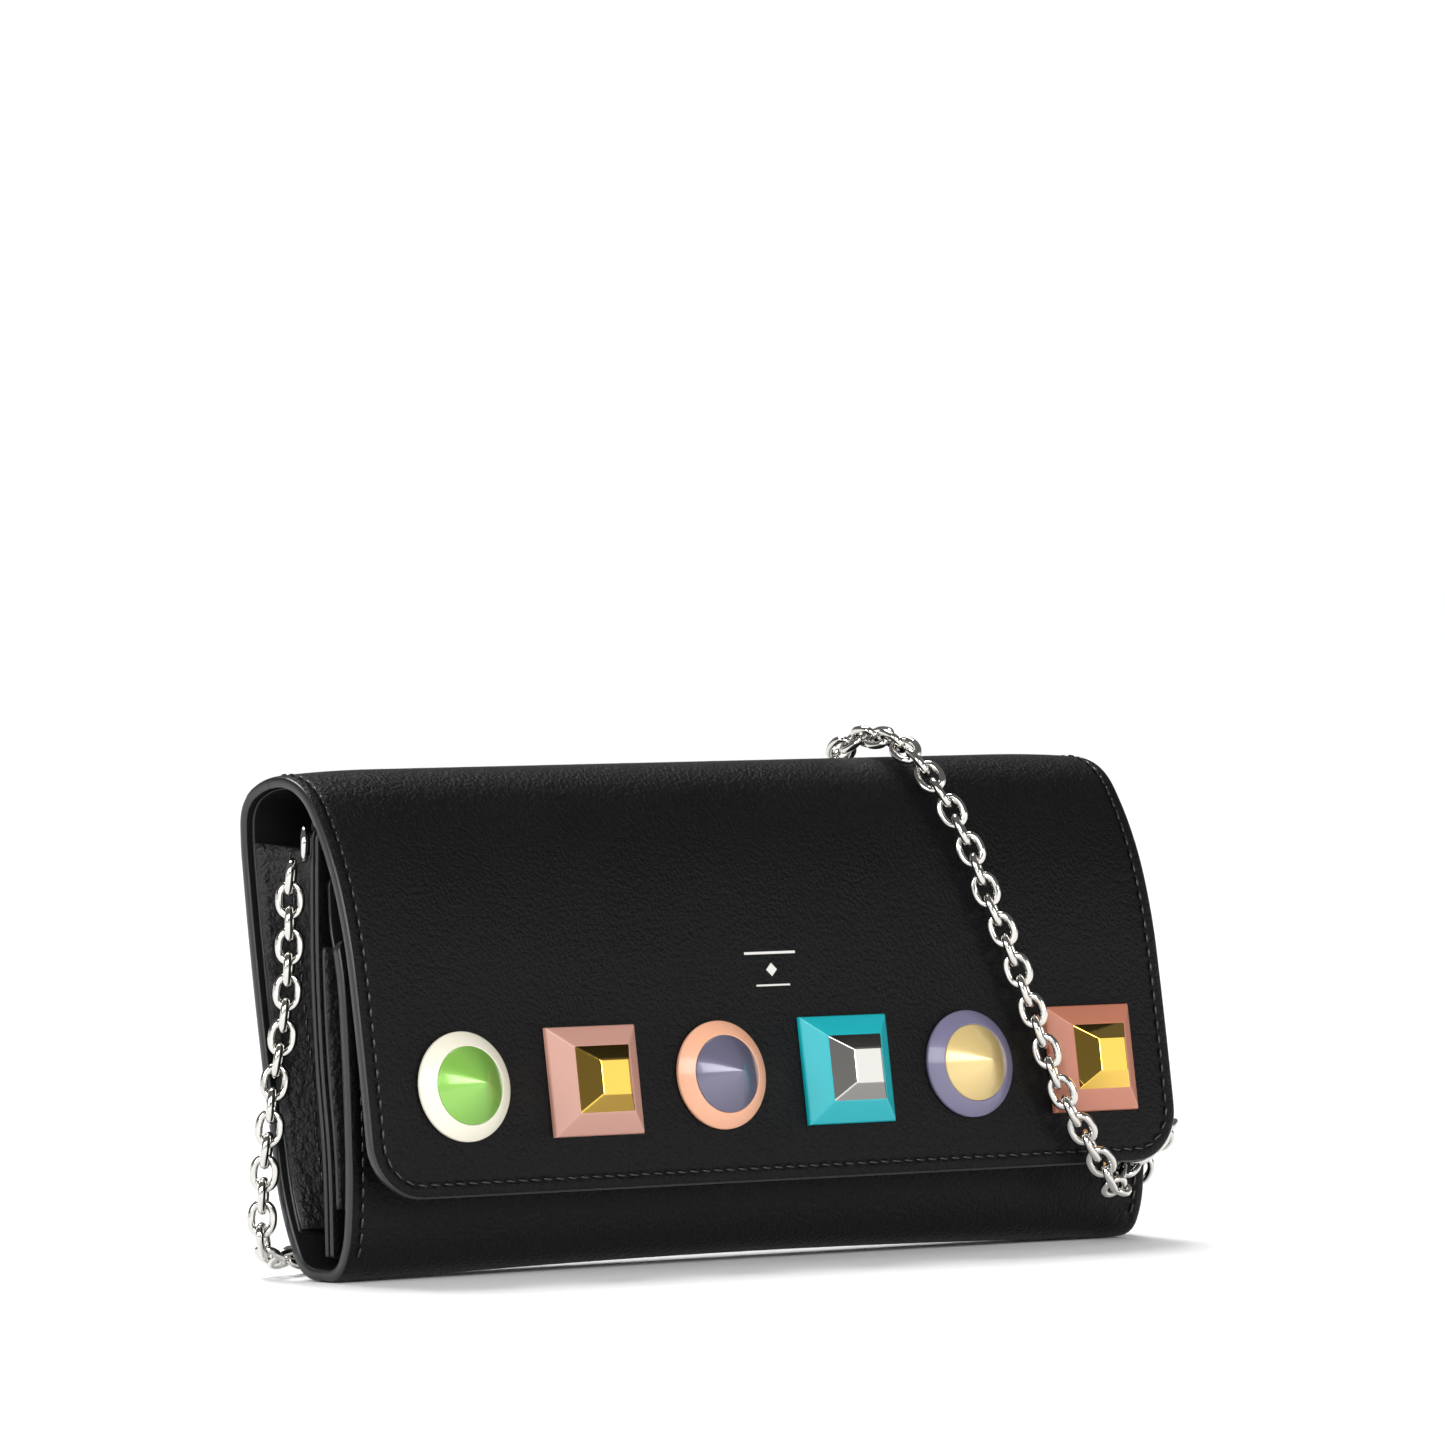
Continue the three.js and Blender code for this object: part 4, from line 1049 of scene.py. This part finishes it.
def link_shape(around=28, sides=10):
    """One oval link along its first axis, flat in the plane of its first two: (points, faces)."""
    r = WIRE / 2
    reach, width = LINK_LENGTH / 2 - r, CHAIN_DIAMETER / 2 - r
    turn = np.linspace(0, 2 * np.pi, around, endpoint=False)
    mid = np.stack([reach * np.sign(np.cos(turn)) * np.abs(np.cos(turn)) ** LINK_SQUARENESS,
                    width * np.sign(np.sin(turn)) * np.abs(np.sin(turn)) ** LINK_SQUARENESS], 1)
    ahead = np.roll(mid, -1, 0) - np.roll(mid, 1, 0)
    out = np.stack([ahead[:, 1], -ahead[:, 0]], 1)
    out /= np.linalg.norm(out, axis=1)[:, None]
    points, faces = [], []
    for m, n in zip(mid, out):
        for k in range(sides):
            a = 2 * math.pi * (k + 0.5) / sides
            points.append((*(m + n * r * math.cos(a)), r * math.sin(a)))
    for i in range(around):
        for k in range(sides):
            j, m = (i + 1) % around, (k + 1) % sides
            faces.append([i * sides + k, j * sides + k, j * sides + m, i * sides + m])
    return np.array(points), faces


LINK = link_shape()
link_turns = itertools.cycle((-45, 45))


def chain_run(name, route, facing):
    """Links on a route, turned one way and the other by 45 degrees from what the chain lies on.

    facing gives the way out of that at a point. The turns go on from one run to the next.
    """
    line = curve_through(route)
    parts = []
    for row in along(line, LINK_PITCH):
        centre, ahead = row[:3], row[3:]
        side = np.cross(ahead, np.array(facing(centre), float))
        side /= np.linalg.norm(side)
        up = np.cross(side, ahead)
        angle = math.radians(next(link_turns))
        flat = side * math.cos(angle) + up * math.sin(angle)
        axes = np.stack([ahead, flat, np.cross(ahead, flat)])
        parts.append((centre + LINK[0] @ axes, LINK[1]))
    points, faces = join_parts(parts)
    thing = make_object("links" + name.removeprefix("chain"), points, faces, [SILVER])
    place_piece(thing, "silver_metal", name)
    return thing


HANK_Y, HANK_Z, HANK_END = 19.1, 3.1, 50
FOLD_OUT, CLIMB_OUT = 4.2, 3.0


def hank_route():
    """Seven runs to and fro, four below and three above them, in the gaps between those."""
    runs = [(HANK_Y + CHAIN_DIAMETER * k, HANK_Z) for k in range(4)]
    runs += [(HANK_Y + CHAIN_DIAMETER * (k - 0.5), HANK_Z + CHAIN_DIAMETER) for k in (3, 2, 1)]
    points = [(-62.0, 20.2, 3.2), (-56.5, 19.1, 3.1)]
    for i, (y, z) in enumerate(runs):
        way = 1 if i % 2 == 0 else -1
        points += [(way * x, y, z) for x in (-HANK_END, -HANK_END / 2, 0, HANK_END / 2, HANK_END)]
        if i + 1 < len(runs):
            next_y, next_z = runs[i + 1]
            out = CLIMB_OUT if next_z > z else FOLD_OUT
            points.append((way * (HANK_END + out), (y + next_y) / 2, (z + next_z) / 2))
    return points + [(55.5, 21.2, 8.0), (59.3, 20.6, 5.0)]


ARCH_Z = 84


def off_the_arch(p):
    return (0, max(p[1] - 10, 0), max(p[2] - ARCH_Z, 0))


def off_the_flap(p):
    return (0, p[1] - 8, max(p[2] - ARCH_Z, 0) + 3)


run_left = chain_run("chain_left_run", LEFT_RUN, lambda _: (-1, 0, 0.02))
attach(run_left, "body")
hank = chain_run("chain_hank", hank_route(), lambda _: (0, 0.02, 1))
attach(hank, "body")
run_back = chain_run("chain_back_run", BACK_RUN, lambda _: (0.02, 1, 0.05))
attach(run_back, "body")
run_over = chain_run("chain_over_run", OVER_RUN, off_the_arch)
yz(BACK, 94)
yz(BACK, 104)
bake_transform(run_over)
run_front = chain_run("chain_front_run", FRONT_RUN, off_the_flap)
bend_flap(run_front)
run_lower = chain_run("chain_lower_run", LOWER_RUN, lambda _: (1, -0.3, 0.1))
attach(run_lower, "chain_lower")
run_upper = chain_run("chain_upper_run", UPPER_RUN, lambda _: (1, 0, 0.02))
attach(run_upper, "chain_upper")

# ---- floor ----
FLOOR_HALF, FLOOR_Z = 6, -0.0002
mesh = bpy.data.meshes.new("floor")
floor_corners = [(x * FLOOR_HALF, y * FLOOR_HALF, FLOOR_Z) for x, y in ((-1, -1), (1, -1), (1, 1), (-1, 1))]
mesh.from_pydata(floor_corners, [], [(0, 1, 2, 3)])
mesh.materials.append(FLOOR)
floor = bpy.data.objects.new("floor", mesh)
bpy.context.scene.collection.objects.link(floor)

# ---- light ----
WALLET_MIDDLE = (0, 0, 0.06)


def softbox(name, at, size, power, aim=WALLET_MIDDLE):
    data = bpy.data.lights.new(name, "AREA")
    data.shape = "RECTANGLE"
    data.size, data.size_y = size
    data.energy = power
    lamp = bpy.data.objects.new(name, data)
    lamp.location = at
    lamp.rotation_euler = (Vector(aim) - Vector(at)).to_track_quat("-Z", "Y").to_euler()
    bpy.context.scene.collection.objects.link(lamp)


def overhead(power, spread, tilt_x, tilt_y):
    data = bpy.data.lights.new("overhead", "SUN")
    data.energy = power
    data.angle = math.radians(spread)
    lamp = bpy.data.objects.new("overhead", data)
    lamp.rotation_euler = (math.radians(tilt_x), math.radians(tilt_y), 0)
    bpy.context.scene.collection.objects.link(lamp)


def studio_world(wall_top=0.09, room_from=0.14, wall_light=1.05, room_light=0.16):
    """The studio is the same all round: white walls low down and a dim room above them."""
    world = bpy.data.worlds.new("studio")
    world.use_nodes = True
    nodes, link = world.node_tree.nodes, world.node_tree.links.new
    way = nodes.new("ShaderNodeTexCoord")
    split = nodes.new("ShaderNodeSeparateXYZ")
    level = nodes.new("ShaderNodeMapRange")
    level.inputs["From Min"].default_value = wall_top
    level.inputs["From Max"].default_value = room_from
    level.inputs["To Min"].default_value = wall_light
    level.inputs["To Max"].default_value = room_light
    link(way.outputs["Generated"], split.inputs["Vector"])
    link(split.outputs["Z"], level.inputs["Value"])
    link(level.outputs["Result"], nodes["Background"].inputs["Strength"])
    nodes["Background"].inputs["Color"].default_value = (1, 1, 1, 1)
    bpy.context.scene.world = world


softbox("key", (-1.42, -1.87, 1.22), (1.3, 1.1), 36)
softbox("fill", (0.70, -2.33, 0.66), (0.6, 0.8), 17)
softbox("panel", (1.60, -2.00, 0.72), (1.0, 0.8), 3.2)
softbox("left", (-2.1, -0.2, 0.75), (0.6, 0.8), 16, aim=(-0.05, 0, 0.06))
overhead(3.1, spread=34, tilt_x=-26, tilt_y=4)
studio_world()
bpy.context.scene.view_settings.view_transform = "Standard"
